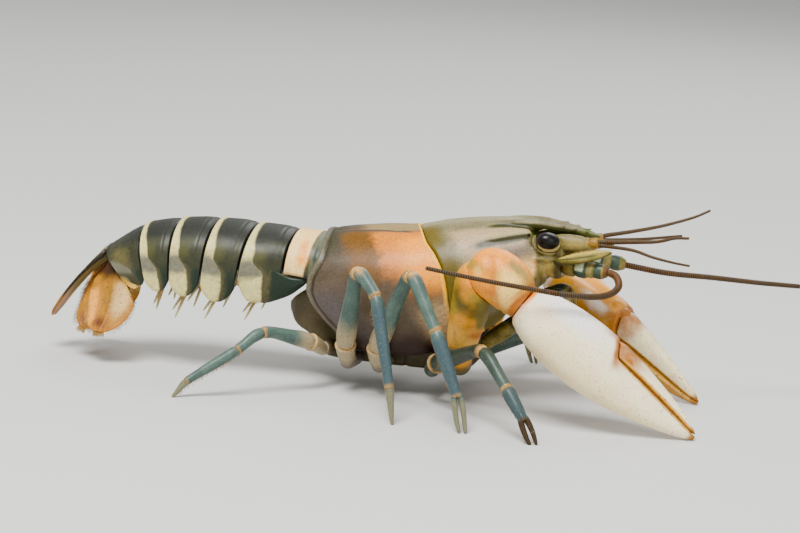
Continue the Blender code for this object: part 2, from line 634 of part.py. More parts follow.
def antennae():
    rightEnd, leftEnd = (54.3, -7.0, 27.0), (55.7, 7.0, 26.4)
    curl = [(54.6, -7.1, 27.0), (56.0, -8.0, 26.6), (57.0, -10.5, 25.5), (56.7, -14.0, 24.8),
            (55.3, -17.0, 24.4), (52.8, -20.0, 24.5), (47.9, -23.5, 25.1)]
    back = [(47.9, -23.5, 25.1), (44.2, -25.5, 25.8), (37.6, -28.5, 26.9), (32.3, -30.5, 27.8),
            (25.2, -32.5, 29.0)]
    ahead = [(56.0, 7.05, 26.4), (63.3, 10.0, 25.1), (71.7, 14.0, 24.4), (80.2, 18.0, 23.6),
             (87.7, 22.0, 23.0)]
    beyond = [(87.7, 22.0, 23.0), (97.0, 27.6, 22.0), (106.0, 34.2, 20.6), (114.0, 41.8, 18.8),
              (120.0, 49.6, 16.6)]
    step = unit(np.array(back[1]) - np.array(back[0])) * gap
    back[0] = tuple(np.array(back[0]) + step)
    step = unit(np.array(beyond[1]) - np.array(beyond[0])) * gap
    beyond[0] = tuple(np.array(beyond[0]) + step)
    antennaBase(-1, "right", rightEnd)
    antennaBase(1, "left", leftEnd)
    feeler("antenna_right_curl", curl, 0.7, 0.5, 16)
    feeler("antenna_right_back", back, 0.5, 0.38, 10)
    feeler("antenna_left_near", ahead, 0.62, 0.46, 12)
    feeler("antenna_left_far", beyond, 0.46, 0.26, 12, blunt=0.6)
    antennule(-1, "right", rightWhips)
    antennule(1, "left", leftWhips)


def maxilliped(side, word):
    """The leg-like mouth limb folded under the head."""
    corners = [(31.0 + gap, side * 2.5, 10.2), (37.0, side * 3.2, 14.6), (42.8, side * 3.3, 21.2),
               (46.4, side * 2.7, 21.4), (47.6, side * 2.0, 18.4)]
    path, at = roundedPath(corners, (2.5, 2.5, 1.5))
    keys = [(0, 1.3, 1.5), (0.5, 1.45, 1.7), (0.95, 1.2, 1.4), (1.5, 1.2, 1.3), (2.0, 1.0, 1.0),
            (3.0, 0.8, 0.8), (4.0, 0.3, 0.3)]
    radii = [tuple(curveAt(keys, a)) for a in at]
    rings = tubeRings(path, radii, 8, (0, 0, 1), firstNormal=(1, 0, 0))
    return loft(f"maxilliped_{word}", rings, "face", path[0])


# Walking legs: root wall, hip, elbow, knee, wrist, ankle and foot, and the radius at each stretch

rightLegs = {
    2: [(23.0, -5.3 - gap, 6.4), (23.2, -10.6, 5.9), (24.6, -13.8, 8.0), (35.6, -26.6, 14.4),
        (41.3, -32.0, 8.6), (45.3, -35.0, 3.8), (47.6, -36.0, -0.4)],
    3: [(13.4, -5.3 - gap, 5.9), (13.3, -10.9, 5.7), (13.1, -14.0, 9.6), (20.9, -24.0, 26.8),
        (27.2, -29.0, 17.0), (32.5, -32.3, 6.2), (34.2, -33.5, -0.4)],
    4: [(7.4, -5.3 - gap, 5.9), (7.2, -10.9, 5.8), (7.1, -13.8, 9.6), (10.6, -23.0, 26.2),
        (15.4, -27.0, 22.0), (20.0, -32.0, 6.4), (21.2, -33.0, -0.4)],
    5: [(2.4, -5.3 - gap, 7.4), (1.8, -9.4, 7.4), (0.6, -13.2, 9.4), (-7.1, -21.0, 12.3),
        (-10.5, -24.5, 8.8), (-18.8, -29.4, 2.9), (-20.9, -31.0, -0.3)],
}
leftLegs = {
    2: [(23.0, 5.3 + gap, 6.4), (24.0, 10.4, 5.5), (26.6, 14.0, 5.4), (39.6, 23.6, 9.2), (46.0, 28.2, 7.0),
        (50.0, 30.8, 3.4), (52.0, 31.8, -0.4)],
    3: [(13.4, 5.3 + gap, 5.9), (13.6, 10.9, 5.7), (14.2, 14.0, 9.4), (22.6, 24.6, 24.0), (29.0, 29.4, 16.2),
        (33.9, 32.4, 6.0), (35.6, 33.4, -0.4)],
    4: [(7.4, 5.3 + gap, 5.9), (7.4, 10.9, 5.8), (7.2, 13.8, 9.4), (9.4, 24.0, 24.4), (11.0, 28.4, 19.6),
        (12.6, 33.0, 5.8), (13.0, 34.0, -0.4)],
    5: [(2.4, 5.3 + gap, 7.4), (2.0, 9.6, 7.4), (1.4, 13.4, 9.4), (-0.6, 22.4, 18.6), (-0.2, 26.4, 14.8),
        (1.6, 31.8, 4.6), (2.2, 33.0, -0.4)],
}
# place along the leg (0 root, 3 knee, 6 foot), radius
upperRadii = [(0, 1.65), (1.0, 1.5), (1.4, 1.7), (2.0, 1.9), (2.15, 1.9), (2.5, 1.6), (2.85, 1.3),
              (3.0, 1.28)]
lowerRadii = [(3.0, 1.3), (3.2, 1.35), (3.5, 1.25), (3.9, 1.1), (4.1, 1.2), (4.5, 1.15), (4.9, 0.88),
              (5.1, 0.8), (5.6, 0.52), (6.0, 0.3)]
legScale = {2: 0.95, 3: 1.0, 4: 1.0, 5: 0.84}
legBends = (1.6, 2.6, 3.2, 2.0, 1.6)
pincerLegs = (2, 3)


def legHalves(number, word, corners):
    thick = legScale[number]
    path, at = roundedPath(corners[:6] if number in pincerLegs else corners, legBends)
    knee = min(range(len(at)), key=lambda i: abs(at[i] - 3.0))
    normal = unit(path[knee + 1] - path[knee - 1])
    upperPath, upperAt = path[:knee + 1], at[:knee + 1]
    lowerPath, lowerAt = path[knee:], at[knee:]
    lowerPath[0] = lowerPath[0] + normal * gap
    hint = (1, 0, 0.2)
    radii = [curveAt(upperRadii, a) * thick for a in upperAt]
    wall = (0, -1 if corners[0][1] < 0 else 1, 0)
    upper = tubeRings(upperPath, radii, legSides, hint, wall, normal)
    loft(f"leg{number}_{word}_upper", upper, "leg_blue", upperPath[0])
    name = f"leg{number}_{word}_lower"
    if number not in pincerLegs:
        radii = [curveAt(lowerRadii, a) * thick for a in lowerAt]
        lower = loft(name, tubeRings(lowerPath, radii, legSides, hint, normal), "leg_blue", lowerPath[0])
        return standOnFloor(lower)
    # The palm ends at the ankle, and two slim fingers go on side by side from it
    radii = [max(curveAt(lowerRadii, a), 1.02 if a > 4.3 else 0) * thick for a in lowerAt]
    palm = loft(name, tubeRings(lowerPath, radii, legSides, hint, normal), "leg_blue", lowerPath[0])
    ankle, foot = np.array(corners[5], float), np.array(corners[6], float)
    wayDown = unit(foot - ankle)
    apart = across(wayDown, (1, -0.3 * wall[1], 0))[0]
    fingers = []
    for sign in (-1, 1):
        finger = [ankle - wayDown * 1.2 + apart * sign * 0.35, ankle + wayDown * 0.4 + apart * sign * 0.62,
                  (ankle + foot) / 2 + apart * sign * 0.72, foot + apart * sign * 0.5]
        fingers.append(loft("finger", tubeRings(finger, [0.42, 0.55, 0.48, 0.3], 6, hint), "leg_blue"))
    return standOnFloor(fuse(palm, fingers))


# Claw arms

arms = {
    "right": {"coxa": [(27.6, -5.3 - gap, 7.3), (28.2, -9.6, 7.2), (28.6, -12.4, 10.4)], "slit": 1.7,
              "elbow": (32.2, -18.4, 25.4), "shoulder": (30.6, -18.0, 26.6), "bend": (36.2, -19.0, 26.3),
              "wrist": (41.2, -20.0, 21.9), "tip": (73.7, -19.0, 0.15),
              "width": (0.41, 0.66, 0.63)},
    "left": {"coxa": [(27.6, 5.3 + gap, 7.3), (28.2, 9.6, 7.2), (28.6, 12.4, 10.4)], "slit": 1.6,
             "elbow": (31.6, 18.6, 24.8), "shoulder": (30.0, 18.2, 26.0), "bend": (35.6, 19.8, 25.6),
             "wrist": (40.2, 20.8, 21.2), "tip": (71.0, 11.2, 0.15),
             "width": (0.36, -0.66, 0.66)},
}
# share of the claw length, lateral edge, mesial edge, thickness (mm)
clawOutline = [(0.0, -3.4, 3.6, 5.8), (0.04, -4.5, 4.5, 6.8), (0.12, -5.7, 5.5, 7.8), (0.24, -6.6, 6.3, 8.4),
               (0.36, -6.8, 6.6, 8.1), (0.46, -6.6, 6.5, 7.5), (0.6, -5.7, 5.8, 6.0), (0.74, -4.2, 4.7, 4.5),
               (0.86, -2.6, 3.5, 3.1), (0.95, -1.1, 2.2, 1.9), (1.0, -0.1, 1.2, 0.9)]
# share, how far the inner edge of the fixed finger has come down to the tip's level, gap between the fingers
clawSlit = [(0.43, 0.0, 0.45), (0.5, 0.12, 0.8), (0.62, 0.34, 0.95), (0.75, 0.62, 0.85), (0.87, 0.88, 0.65),
            (0.95, 1.0, 0.45), (1.0, 1.0, 0.4)]
knuckle = 0.43              # where the moving finger starts, as a share of the claw length


def clawFrame(arm):
    wrist, tip = np.array(arm["wrist"], float), np.array(arm["tip"], float)
    axis = unit(tip - wrist)
    wide, face = across(axis, arm["width"])
    return tip - axis * clawLength, axis, wide, face


def slitAt(arm, share):
    """Inner edge of the fixed finger and inner edge of the moving finger."""
    down, width = curveAt(clawSlit, share)
    edge = arm["slit"] * (1 - down) + 0.62 * down
    return edge, edge + width


def clawRing(frame, share, sides=12, below=None, above=None, slim=1.0):
    """A plump oval as wide as the claw, cut off flat at the slit for one of its fingers."""
    base, axis, wide, face = frame
    low, high, thick = curveAt(clawOutline, share)
    middle, half = (low + high) / 2, (high - low) / 2
    ring = []
    for j in range(sides):
        angle = 2 * math.pi * (j + 0.5) / sides
        c, s = math.cos(angle), math.sin(angle)
        rise = math.copysign(abs(s) ** 0.87, s)
        wanted = middle + half * math.copysign(abs(c) ** 0.87, c)
        place = min(wanted, below) if below is not None else wanted
        place = max(place, above) if above is not None else place
        if place != wanted:
            rise *= max(1 - ((place - middle) / half) ** 2, 0) ** 0.5
        ring.append(base + axis * clawLength * share + wide * place + face * thick / 2 * rise * slim)
    return ring


def palm(word, arm):
    frame = clawFrame(arm)
    rings = [clawRing(frame, share) for share in (0.0, 0.04, 0.12, 0.24, 0.34, knuckle - 0.012)]
    for share in (knuckle - 0.004, 0.5, 0.58, 0.66, 0.74, 0.82, 0.9, 0.96, 1.0):
        inner, _ = slitAt(arm, max(share, knuckle))
        rings.append(clawRing(frame, share, below=inner))
    body = loft(f"claw_{word}_palm", rings, "claw_white", rings[0][0])
    base, axis, wide, face = frame
    bumps = []
    for i, share in enumerate((0.52, 0.6, 0.68, 0.76, 0.84, 0.91)):
        inner, _ = slitAt(arm, share)
        at = base + axis * clawLength * share + wide * (inner - 0.45)
        bumps.append(spike(at, at + wide * (0.62 if i % 2 else 0.8), 0.42, 4))
    return standOnFloor(fuse(body, bumps))


def movingFinger(word, arm):
    frame, rings = clawFrame(arm), []
    start = knuckle + gap / clawLength
    for share in (start, start + 0.02, 0.52, 0.6, 0.69, 0.78, 0.87, 0.94, 0.99):
        _, inner = slitAt(arm, share)
        rings.append(clawRing(frame, share, above=inner, slim=0.8))
    body = loft(f"claw_{word}_finger", rings, "claw_white", rings[0][0])
    base, axis, wide, face = frame
    bumps = []
    for share in (0.56, 0.72, 0.88):
        _, inner = slitAt(arm, share)
        at = base + axis * clawLength * share + wide * (inner + 0.45)
        bumps.append(spike(at, at - wide * 0.62, 0.4, 4))
    return fuse(body, bumps)


def wristRings(arm, swell):
    base, axis, wide, face = clawFrame(arm)
    path = smoothPath([arm["shoulder"], arm["bend"], base - axis * gap], 8)
    radii = [(2.2, 2.0), (3.9, 3.6), (4.7, 4.3), (4.9, 4.5), (4.9, 4.5), (4.7, 4.3), (4.2, 3.9), (3.2, 3.0)]
    radii = [(a + swell, b + swell) for a, b in radii]
    path[0] = path[0] - unit(path[1] - path[0]) * swell
    return tubeRings(path, radii, 12, (0, 0, 1), None, axis)


def armPieces(word, arm):
    side = -1 if word == "right" else 1
    elbow = np.array(arm["elbow"], float)
    coxa = [np.array(c, float) for c in arm["coxa"]]
    rise = unit(elbow - coxa[2])
    # Root: from the wall under the body, out and up to the start of the upper arm
    path, at = roundedPath(arm["coxa"], (2.0,))
    keys = [(0, 2.2), (0.8, 2.15), (1.0, 2.3), (1.6, 2.35), (2.0, 2.3)]
    rings = tubeRings(path, [curveAt(keys, a) for a in at], 9, (1, 0, 0), (0, side, 0), rise)
    loft(f"claw_{word}_root", rings, "claw_orange", path[0])
    # Upper arm, widening to the elbow and hollowed there for the wrist, a blunt spine on its upper edge
    start = coxa[2] + rise * gap
    length = np.linalg.norm(elbow - start)
    keys = [(0, 2.3, 2.2), (0.14, 2.8, 2.5), (0.45, 3.4, 2.9), (0.75, 3.9, 3.2), (1.0, 4.0, 3.2),
            (1.14, 3.0, 2.5)]
    path = [start + rise * length * s for s, _, _ in keys]
    rings = tubeRings(path, [k[1:] for k in keys], 10, (1, 0, 0))
    upper = loft(f"claw_{word}_arm", rings, "claw_orange", start)
    spine = path[3] + np.array([-2.6, 0, 1.0])
    room = loft("wrist_room", wristRings(arm, gap), "face")
    fuse(upper, [spike(spine, spine + (-1.2, side * 0.3, 2.2), 0.8)], [room])
    # Wrist: a rounded block from the elbow to the claw
    rings = wristRings(arm, 0.0)
    block = loft(f"claw_{word}_wrist", rings, "claw_orange", rings[0][0])
    inner = sum(rings[4]) / 12 - np.array([0, side * 3.9, 0.6])
    fuse(block, [spike(inner, inner + np.array([2.2, -side * 2.0, 0.8]), 0.9)])
    palm(word, arm)
    movingFinger(word, arm)


# The whole animal

def build():
    clearScene()
    thorax()
    head()
    sternum()
    for side, word in ((-1, "right"), (1, "left")):
        stalk(side, 0.0, f"eyestalk_{word}")
        cornea(side, 0.0, f"eye_{word}")
        maxilliped(side, word)
        armPieces(word, arms[word])
    for k in range(6):
        tailSegment(k)
    tailFan()
    antennae()
    for number in (2, 3, 4, 5):
        legHalves(number, "right", rightLegs[number])
        legHalves(number, "left", leftLegs[number])
    centreOnFloor()


def centreOnFloor():
    """Hangs every piece on one empty, placed so that the box of the whole stands on the origin."""
    bpy.context.view_layer.update()
    pieces = [o for o in bpy.context.scene.objects if o.type == "MESH"]
    corners = np.array([o.matrix_world @ v.co for o in pieces for v in o.data.vertices])
    low, high = corners.min(0), corners.max(0)
    stand = bpy.data.objects.new("crayfish", None)
    bpy.context.scene.collection.objects.link(stand)
    for piece in pieces:
        piece.parent = stand
    stand.location = (-(low[0] + high[0]) / 2, -(low[1] + high[1]) / 2, 0)


build()
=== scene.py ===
# Zebra crayfish: a fine skin with its colours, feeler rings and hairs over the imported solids.
# Tables are in millimetres while a piece is shaped: x = 0 at the rear edge of the carapace,
# +X ahead, +Y its left side, z = 0 on the floor. Every piece is then moved to the solids' place.
import math

import bpy
import numpy as np
from mathutils import Matrix, Vector, noise


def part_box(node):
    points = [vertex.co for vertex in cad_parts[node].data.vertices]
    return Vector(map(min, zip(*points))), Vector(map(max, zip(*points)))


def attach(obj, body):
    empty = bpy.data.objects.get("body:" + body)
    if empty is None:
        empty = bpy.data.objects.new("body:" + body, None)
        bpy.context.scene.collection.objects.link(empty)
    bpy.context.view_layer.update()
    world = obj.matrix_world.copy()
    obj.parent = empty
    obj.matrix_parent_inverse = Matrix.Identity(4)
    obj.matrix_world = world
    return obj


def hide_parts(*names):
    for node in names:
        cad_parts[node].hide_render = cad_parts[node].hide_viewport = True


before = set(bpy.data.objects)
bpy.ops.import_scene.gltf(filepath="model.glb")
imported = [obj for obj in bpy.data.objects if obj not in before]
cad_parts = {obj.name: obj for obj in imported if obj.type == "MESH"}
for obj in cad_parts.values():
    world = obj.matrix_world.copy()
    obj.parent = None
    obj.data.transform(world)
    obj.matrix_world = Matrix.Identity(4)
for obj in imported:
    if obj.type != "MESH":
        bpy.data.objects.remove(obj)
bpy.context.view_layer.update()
print("frame loaded")

mm = 0.001
draw = np.random.default_rng(11)
bellyStart = -6.6           # the belly plates' rear end, the solids' reference for x
gap = 0.3                   # clear space between neighbouring solids
bothSides = ((-1, "right"), (1, "left"))


def findStand():
    low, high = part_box("sternum")
    return np.array([low[0] / mm - bellyStart, (low[1] + high[1]) / 2 / mm, 0.0])


stand = findStand()


# Numbers and curves

def curveAt(keys, x):
    # smooth values at x through (x, value, ...) keys, with no overshoot
    xs = np.array([k[0] for k in keys], float)
    rows = np.array([k[1:] for k in keys], float)
    x = np.clip(np.asarray(x, float), xs[0], xs[-1])
    i = np.clip(np.searchsorted(xs, x, side="right") - 1, 0, len(xs) - 2)
    step = np.diff(xs)[:, None]
    slope = np.diff(rows, axis=0) / step
    tangent = np.zeros_like(rows)
    tangent[0], tangent[-1] = slope[0], slope[-1]
    before, after = slope[:-1], slope[1:]
    total = np.where(before * after > 0, before + after, 1.0)
    tangent[1:-1] = np.where(before * after > 0, 2 * before * after / total, 0)
    h = step[i, 0][..., None]
    t = ((x - xs[i]) / step[i, 0])[..., None]
    value = ((2 * t**3 - 3 * t**2 + 1) * rows[i] + (t**3 - 2 * t**2 + t) * h * tangent[i]
             + (3 * t**2 - 2 * t**3) * rows[i + 1] + (t**3 - t**2) * h * tangent[i + 1])
    return value if value.shape[-1] > 1 else value[..., 0]


def fade(x, start, end):
    # 0 at start, 1 at end, eased; it falls where start is the larger one
    t = np.clip((np.asarray(x, float) - start) / (end - start), 0, 1)
    return t * t * (3 - 2 * t)


def span(x, start, full, ebb, end):
    # rises from start to full and falls from ebb to end
    return fade(x, start, full) * fade(x, end, ebb)


def hill(x, centre, half):
    return np.exp(-((np.asarray(x, float) - centre) / half) ** 2)


def spot(points, x, z, wide, tall, tilt=0.0):
    # 1 at a place in the side view, fading out at wide and tall from it
    c, s = math.cos(math.radians(tilt)), math.sin(math.radians(tilt))
    dx, dz = points[..., 0] - x, points[..., 2] - z
    return np.exp(-((dx * c + dz * s) / wide) ** 2 - ((dz * c - dx * s) / tall) ** 2)


def stroke(points, corners, half):
    # 1 along a line of (x, z) corners in the side view, fading out at half from it
    flat = points[..., [0, 2]]
    nearest = np.full(flat.shape[:-1], 99.0)
    for start, end in zip(corners, corners[1:]):
        start, way = np.array(start, float), np.array(end, float) - np.array(start, float)
        t = np.clip(((flat - start) @ way) / (way @ way), 0, 1)
        nearest = np.minimum(nearest, np.linalg.norm(flat - start - t[..., None] * way, axis=-1))
    return np.exp(-(nearest / half) ** 2)


def lumps(points, size, seed=0.0):
    # soft noise, about -1 to 1, its features about size across
    flat = np.asarray(points).reshape(-1, 3)
    values = [noise.noise(Vector((p[0] / size + seed, p[1] / size, p[2] / size))) for p in flat]
    return np.array(values).reshape(np.asarray(points).shape[:-1])


def unit(v):
    v = np.asarray(v, float)
    return v / np.linalg.norm(v, axis=-1, keepdims=True)


def across(direction, hint):
    # two unit vectors square to direction, the first as near to hint as it can be
    d = unit(direction)
    side = np.array(hint, float)
    side = unit(side - d * (side @ d))
    return side, np.cross(d, side)


def softLoop(points, each, closed=True):
    # a closed or open row of points made finer, each gap split into the same number of steps
    pts = np.asarray(points, float)
    if closed:
        pts = np.vstack([pts[-3:], pts, pts[:4]])
    run = np.concatenate([[0], np.cumsum(np.maximum(np.linalg.norm(np.diff(pts, axis=0), axis=1), 1e-6))])
    keys = [(r, *p) for r, p in zip(run, pts)]
    first, last = (3, len(points) + 3) if closed else (0, len(points) - 1)
    wanted = []
    for i in range(first, last):
        wanted.append(np.linspace(run[i], run[i + 1], each, endpoint=False))
    wanted = np.concatenate(wanted + ([] if closed else [[run[-1]]]))
    return curveAt(keys, wanted)


def bothHalves(side, lowest, each):
    # a fine closed ring from the points of one side, the top first, and its lowest point
    return softLoop(np.vstack([side, [lowest], side[1:][::-1] * (1, -1, 1)]), each)


def andBack(row):
    # a row, then its inner values backwards
    return np.concatenate([row, row[1:-1][::-1]])


def along(keys, count):
    # evenly spread places from the first key to the last
    return np.linspace(keys[0][0], keys[-1][0], count)


def mirrored(point, side):
    # a point of the left side, or its twin where side is -1
    return np.array(point, float) * (1, side, 1)


def smoothPath(corners, count):
    # evenly spread points on a Catmull-Rom curve through the corners
    pts = [np.array(c, float) for c in corners]
    pts = [2 * pts[0] - pts[1]] + pts + [2 * pts[-1] - pts[-2]]
    fine = []
    for i in range(1, len(pts) - 2):
        p0, p1, p2, p3 = pts[i - 1:i + 3]
        for t in np.linspace(0, 1, 40, endpoint=False):
            fine.append(0.5 * (2 * p1 + (p2 - p0) * t + (2 * p0 - 5 * p1 + 4 * p2 - p3) * t**2
                               + (3 * p1 - p0 - 3 * p2 + p3) * t**3))
    fine = np.array(fine + [pts[-2]])
    run = np.concatenate([[0], np.cumsum(np.linalg.norm(np.diff(fine, axis=0), axis=1))])
    wanted = np.linspace(0, run[-1], count)
    return np.stack([np.interp(wanted, run, fine[:, k]) for k in range(3)], -1)


def bentPath(corners, bends, spacing=0.3):
    # straight stretches joined by soft bends, with the corner number of each point
    corners = [np.array(c, float) for c in corners]
    bends = [0.0] + list(bends)[:len(corners) - 2] + [0.0]
    path, at = [corners[0]], [0.0]
    for i in range(1, len(corners)):
        start, end = corners[i - 1], corners[i]
        length = np.linalg.norm(end - start)
        lead, tail = (min(bends[j], 0.45 * length) for j in (i - 1, i))
        steps = max(int((length - lead - tail) / spacing), 2)
        shares = np.linspace(lead / length, 1 - tail / length, steps)
        for share in shares[1:] if i == 1 else shares:
            path.append(start + (end - start) * share)
            at.append(i - 1 + share)
        if i < len(corners) - 1:
            after = corners[i + 1]
            nextLength = np.linalg.norm(after - end)
            out = min(bends[i], 0.45 * nextLength)
            before, beyond = path[-1], end + (after - end) / nextLength * out
            low, high = at[-1], i + out / nextLength
            for t in (0.2, 0.4, 0.5, 0.6, 0.8):
                path.append((1 - t)**2 * before + 2 * t * (1 - t) * end + t**2 * beyond)
                at.append(low + (i - low) * 2 * t if t <= 0.5 else i + (high - i) * (2 * t - 1))
    return np.array(path), np.array(at)


# Skins: closed meshes as dictionaries of points, quads, triangles and painted masks

def turnOut(patch):
    p = patch["points"] - patch["points"].mean(0)
    q = patch["quads"]
    tris = np.vstack([patch["tris"], q[:, [0, 1, 2]], q[:, [0, 2, 3]]])
    volume = np.einsum("ij,ij->i", p[tris[:, 0]], np.cross(p[tris[:, 1]], p[tris[:, 2]])).sum()
    if volume < 0:
        patch["quads"] = q[:, ::-1]
        patch["tris"] = patch["tris"][:, ::-1]
    return patch


def wrap(grid, masks=None):
    # a closed skin round rings of points, each end closed by a fan
    rows, cols = grid.shape[:2]
    i, j = np.meshgrid(np.arange(rows - 1), np.arange(cols), indexing="ij")
    k = (j + 1) % cols
    quads = np.stack([i * cols + j, i * cols + k, (i + 1) * cols + k, (i + 1) * cols + j], -1).reshape(-1, 4)
    j = np.arange(cols)
    k = (j + 1) % cols
    first, last, top = rows * cols, rows * cols + 1, (rows - 1) * cols
    tris = np.vstack([np.stack([np.full(cols, first), k, j], -1),
                      np.stack([np.full(cols, last), top + j, top + k], -1)])
    points = np.vstack([grid.reshape(-1, 3), grid[0].mean(0), grid[-1].mean(0)])
    painted = {}
    for name, mask in (masks or {}).items():
        # one value for each ring, or for each point, or one for all
        mask = np.asarray(mask, float)
        mask = np.broadcast_to(mask[:, None] if mask.ndim == 1 else mask, (rows, cols))
        painted[name] = np.concatenate([mask.reshape(-1), [mask[0].mean()], [mask[-1].mean()]])
    return turnOut({"points": points, "quads": quads, "tris": tris, "masks": painted})


def gather(patches):
    names = sorted({n for p in patches for n in p["masks"]})
    points, quads, tris, start = [], [], [], 0
    masks = {n: [] for n in names}
    for p in patches:
        points.append(p["points"])
        quads.append(p["quads"] + start)
        tris.append(p["tris"] + start)
        for n in names:
            masks[n].append(p["masks"].get(n, np.zeros(len(p["points"]))))
        start += len(p["points"])
    return {"points": np.vstack(points), "quads": np.vstack(quads), "tris": np.vstack(tris),
            "masks": {n: np.concatenate(v) for n, v in masks.items()}}


def meshOf(name, patch):
    quads, tris = patch["quads"], patch["tris"]
    mesh = bpy.data.meshes.new(name)
    mesh.vertices.add(len(patch["points"]))
    mesh.vertices.foreach_set("co", ((patch["points"] + stand) * mm).astype(np.float32).reshape(-1))
    corners = np.concatenate([quads.reshape(-1), tris.reshape(-1)]).astype(np.int32)
    starts = np.concatenate([np.arange(len(quads)) * 4, 4 * len(quads) + np.arange(len(tris)) * 3])
    mesh.loops.add(len(corners))
    mesh.loops.foreach_set("vertex_index", corners)
    mesh.polygons.add(len(starts))
    mesh.polygons.foreach_set("loop_start", starts.astype(np.int32))
    mesh.update(calc_edges=True)
    mesh.validate()
    mesh.shade_smooth()
    return mesh


def addObject(name, data):
    obj = bpy.data.objects.new(name, data)
    bpy.context.scene.collection.objects.link(obj)
    return obj


def makePiece(name, patches, nodes, material):
    whole = gather(patches)
    mesh = meshOf(name, whole)
    for label, values in whole["masks"].items():
        layer = mesh.attributes.new(label, "FLOAT", "POINT")
        layer.data.foreach_set("value", values.astype(np.float32))
    mesh.materials.append(material)
    obj = addObject(name, mesh)
    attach(obj, "root")
    if nodes:
        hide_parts(*nodes)


def evaluated(obj):
    # the object's mesh with its modifiers, as a patch, and the object is dropped
    graph = bpy.context.evaluated_depsgraph_get()
    made = bpy.data.meshes.new_from_object(obj.evaluated_get(graph))
    count = len(made.vertices)
    points = np.empty(count * 3)
    made.vertices.foreach_get("co", points)
    totals = np.empty(len(made.polygons), np.int32)
    made.polygons.foreach_get("loop_total", totals)
    corners = np.empty(len(made.loops), np.int32)
    made.loops.foreach_get("vertex_index", corners)
    starts = np.concatenate([[0], np.cumsum(totals)[:-1]])
    quads = corners[starts[totals == 4][:, None] + np.arange(4)]
    tris = corners[starts[totals == 3][:, None] + np.arange(3)]
    bpy.data.objects.remove(obj)
    bpy.data.meshes.remove(made)
    return {"points": points.reshape(-1, 3) / mm - stand, "quads": quads, "tris": tris, "masks": {}}


def remesh(obj, label, grain):
    fuse = obj.modifiers.new(label, "REMESH")
    fuse.mode = "VOXEL"
    fuse.voxel_size = grain * mm


def sculpt(patches, grain, passes, rooms=()):
    # fuses closed skins into one fine skin, cuts rooms out of it, and eases its edges
    obj = addObject("clay", meshOf("clay", gather(patches)))
    remesh(obj, "fuse", grain)
    cutters = []
    for room in rooms:
        cutter = addObject("room", meshOf("room", room))
        cut = obj.modifiers.new("cut", "BOOLEAN")
        cut.operation = "DIFFERENCE"
        cut.solver = "MANIFOLD"
        cut.object = cutter
        cutters.append(cutter)
    if rooms:
        remesh(obj, "again", grain)
    ease = obj.modifiers.new("ease", "SMOOTH")
    ease.factor = 0.5
    ease.iterations = passes
    patch = evaluated(obj)
    for cutter in cutters:
        bpy.data.objects.remove(cutter)
    return patch


def ringAngles(sides):
    return 2 * math.pi * (np.arange(sides) + 0.5) / sides


def tubeGrid(path, radii, sides, hint=(0, 0, 1), firstNormal=None, lastNormal=None):
    # rings square to the path; radii (along hint, across hint) for each point
    path, radii = np.asarray(path, float), np.asarray(radii, float)
    radii = np.stack([radii, radii], -1) if radii.ndim == 1 else radii
    normals = unit(np.vstack([path[1] - path[0], path[2:] - path[:-2], path[-1] - path[-2]]))
    if firstNormal is not None:
        normals[0] = unit(firstNormal)
    if lastNormal is not None:
        normals[-1] = unit(lastNormal)
    hint = np.array(hint, float)
    u = unit(hint - normals * (normals @ hint)[:, None])
    v = np.cross(normals, u)
    angle = ringAngles(sides)
    return (path[:, None] + u[:, None] * (np.cos(angle)[:, None] * radii[:, None, :1])
            + v[:, None] * (np.sin(angle)[:, None] * radii[:, None, 1:]))


def roundEnds(share, lead, tail):
    # a factor on the radius that closes a tube's ends in a round cap
    first = np.sqrt(np.clip(1 - (1 - np.clip(share / max(lead, 1e-6), 0, 1)) ** 2, 0, 1))
    last = np.sqrt(np.clip(1 - (1 - np.clip((1 - share) / max(tail, 1e-6), 0, 1)) ** 2, 0, 1))
    return np.maximum(first * last, 0.02)


def thorn(root, tip, radius):
    # a slim pointed cone, its root sunk into what carries it
    root, tip = np.array(root, float), np.array(tip, float)
    shares = np.array([0, 0.2, 0.45, 0.7, 0.88, 0.97, 1.0])
    radii = radius * (1 - shares ** 1.3) + 0.02
    hint = (0, 0, 1) if abs(unit(tip - root)[2]) < 0.9 else (1, 0, 0)
    return wrap(tubeGrid(root + (tip - root) * shares[:, None], radii, 10, hint))


def knob(centre, size):
    # a small rounded lump
    a = np.linspace(0.02, math.pi - 0.02, 9)
    centre = np.array(centre, float)
    path = centre + np.stack([0 * a, 0 * a, -np.cos(a) * size[2]], -1)
    return wrap(tubeGrid(path, np.sin(a)[:, None] * np.array(size[:2]), 16, (1, 0, 0)))


# Materials

paint = {
    "light": 1.9, "sheen": 0.012,                       # what the soft light and the gloss add
    "shoulder": 1.45, "shoulderPower": 3.5,             # how the film flattens bright colours
    "warmShift": np.array([-0.13, 0.045, -0.085]),      # against the pink tint of bright orange
    "darkest": 0.002, "brightest": 0.95,
}


def tone(red, green, blue):
    # a colour as the eye reads it, 0 to 255, turned into the paint that shows so under the soft light
    seen = np.array([red, green, blue]) / max(255, max(red, green, blue) / 0.87)
    linear = np.where(seen <= 0.04045, seen / 12.92, ((seen + 0.055) / 1.055) ** 2.4)
    bright = linear + paint["shoulder"] * linear ** paint["shoulderPower"] / (1 - linear)
    # the film turns bright orange pink, so a warm paint gets less red and blue and more green
    warm = bright[0] - bright[2]
    bright = (bright + warm * paint["warmShift"] - paint["sheen"]) / paint["light"]
    bright = bright / max(bright.max() / paint["brightest"], 1) ** 0.4
    return (*[float(c) for c in np.clip(bright, paint["darkest"], paint["brightest"])], 1.0)


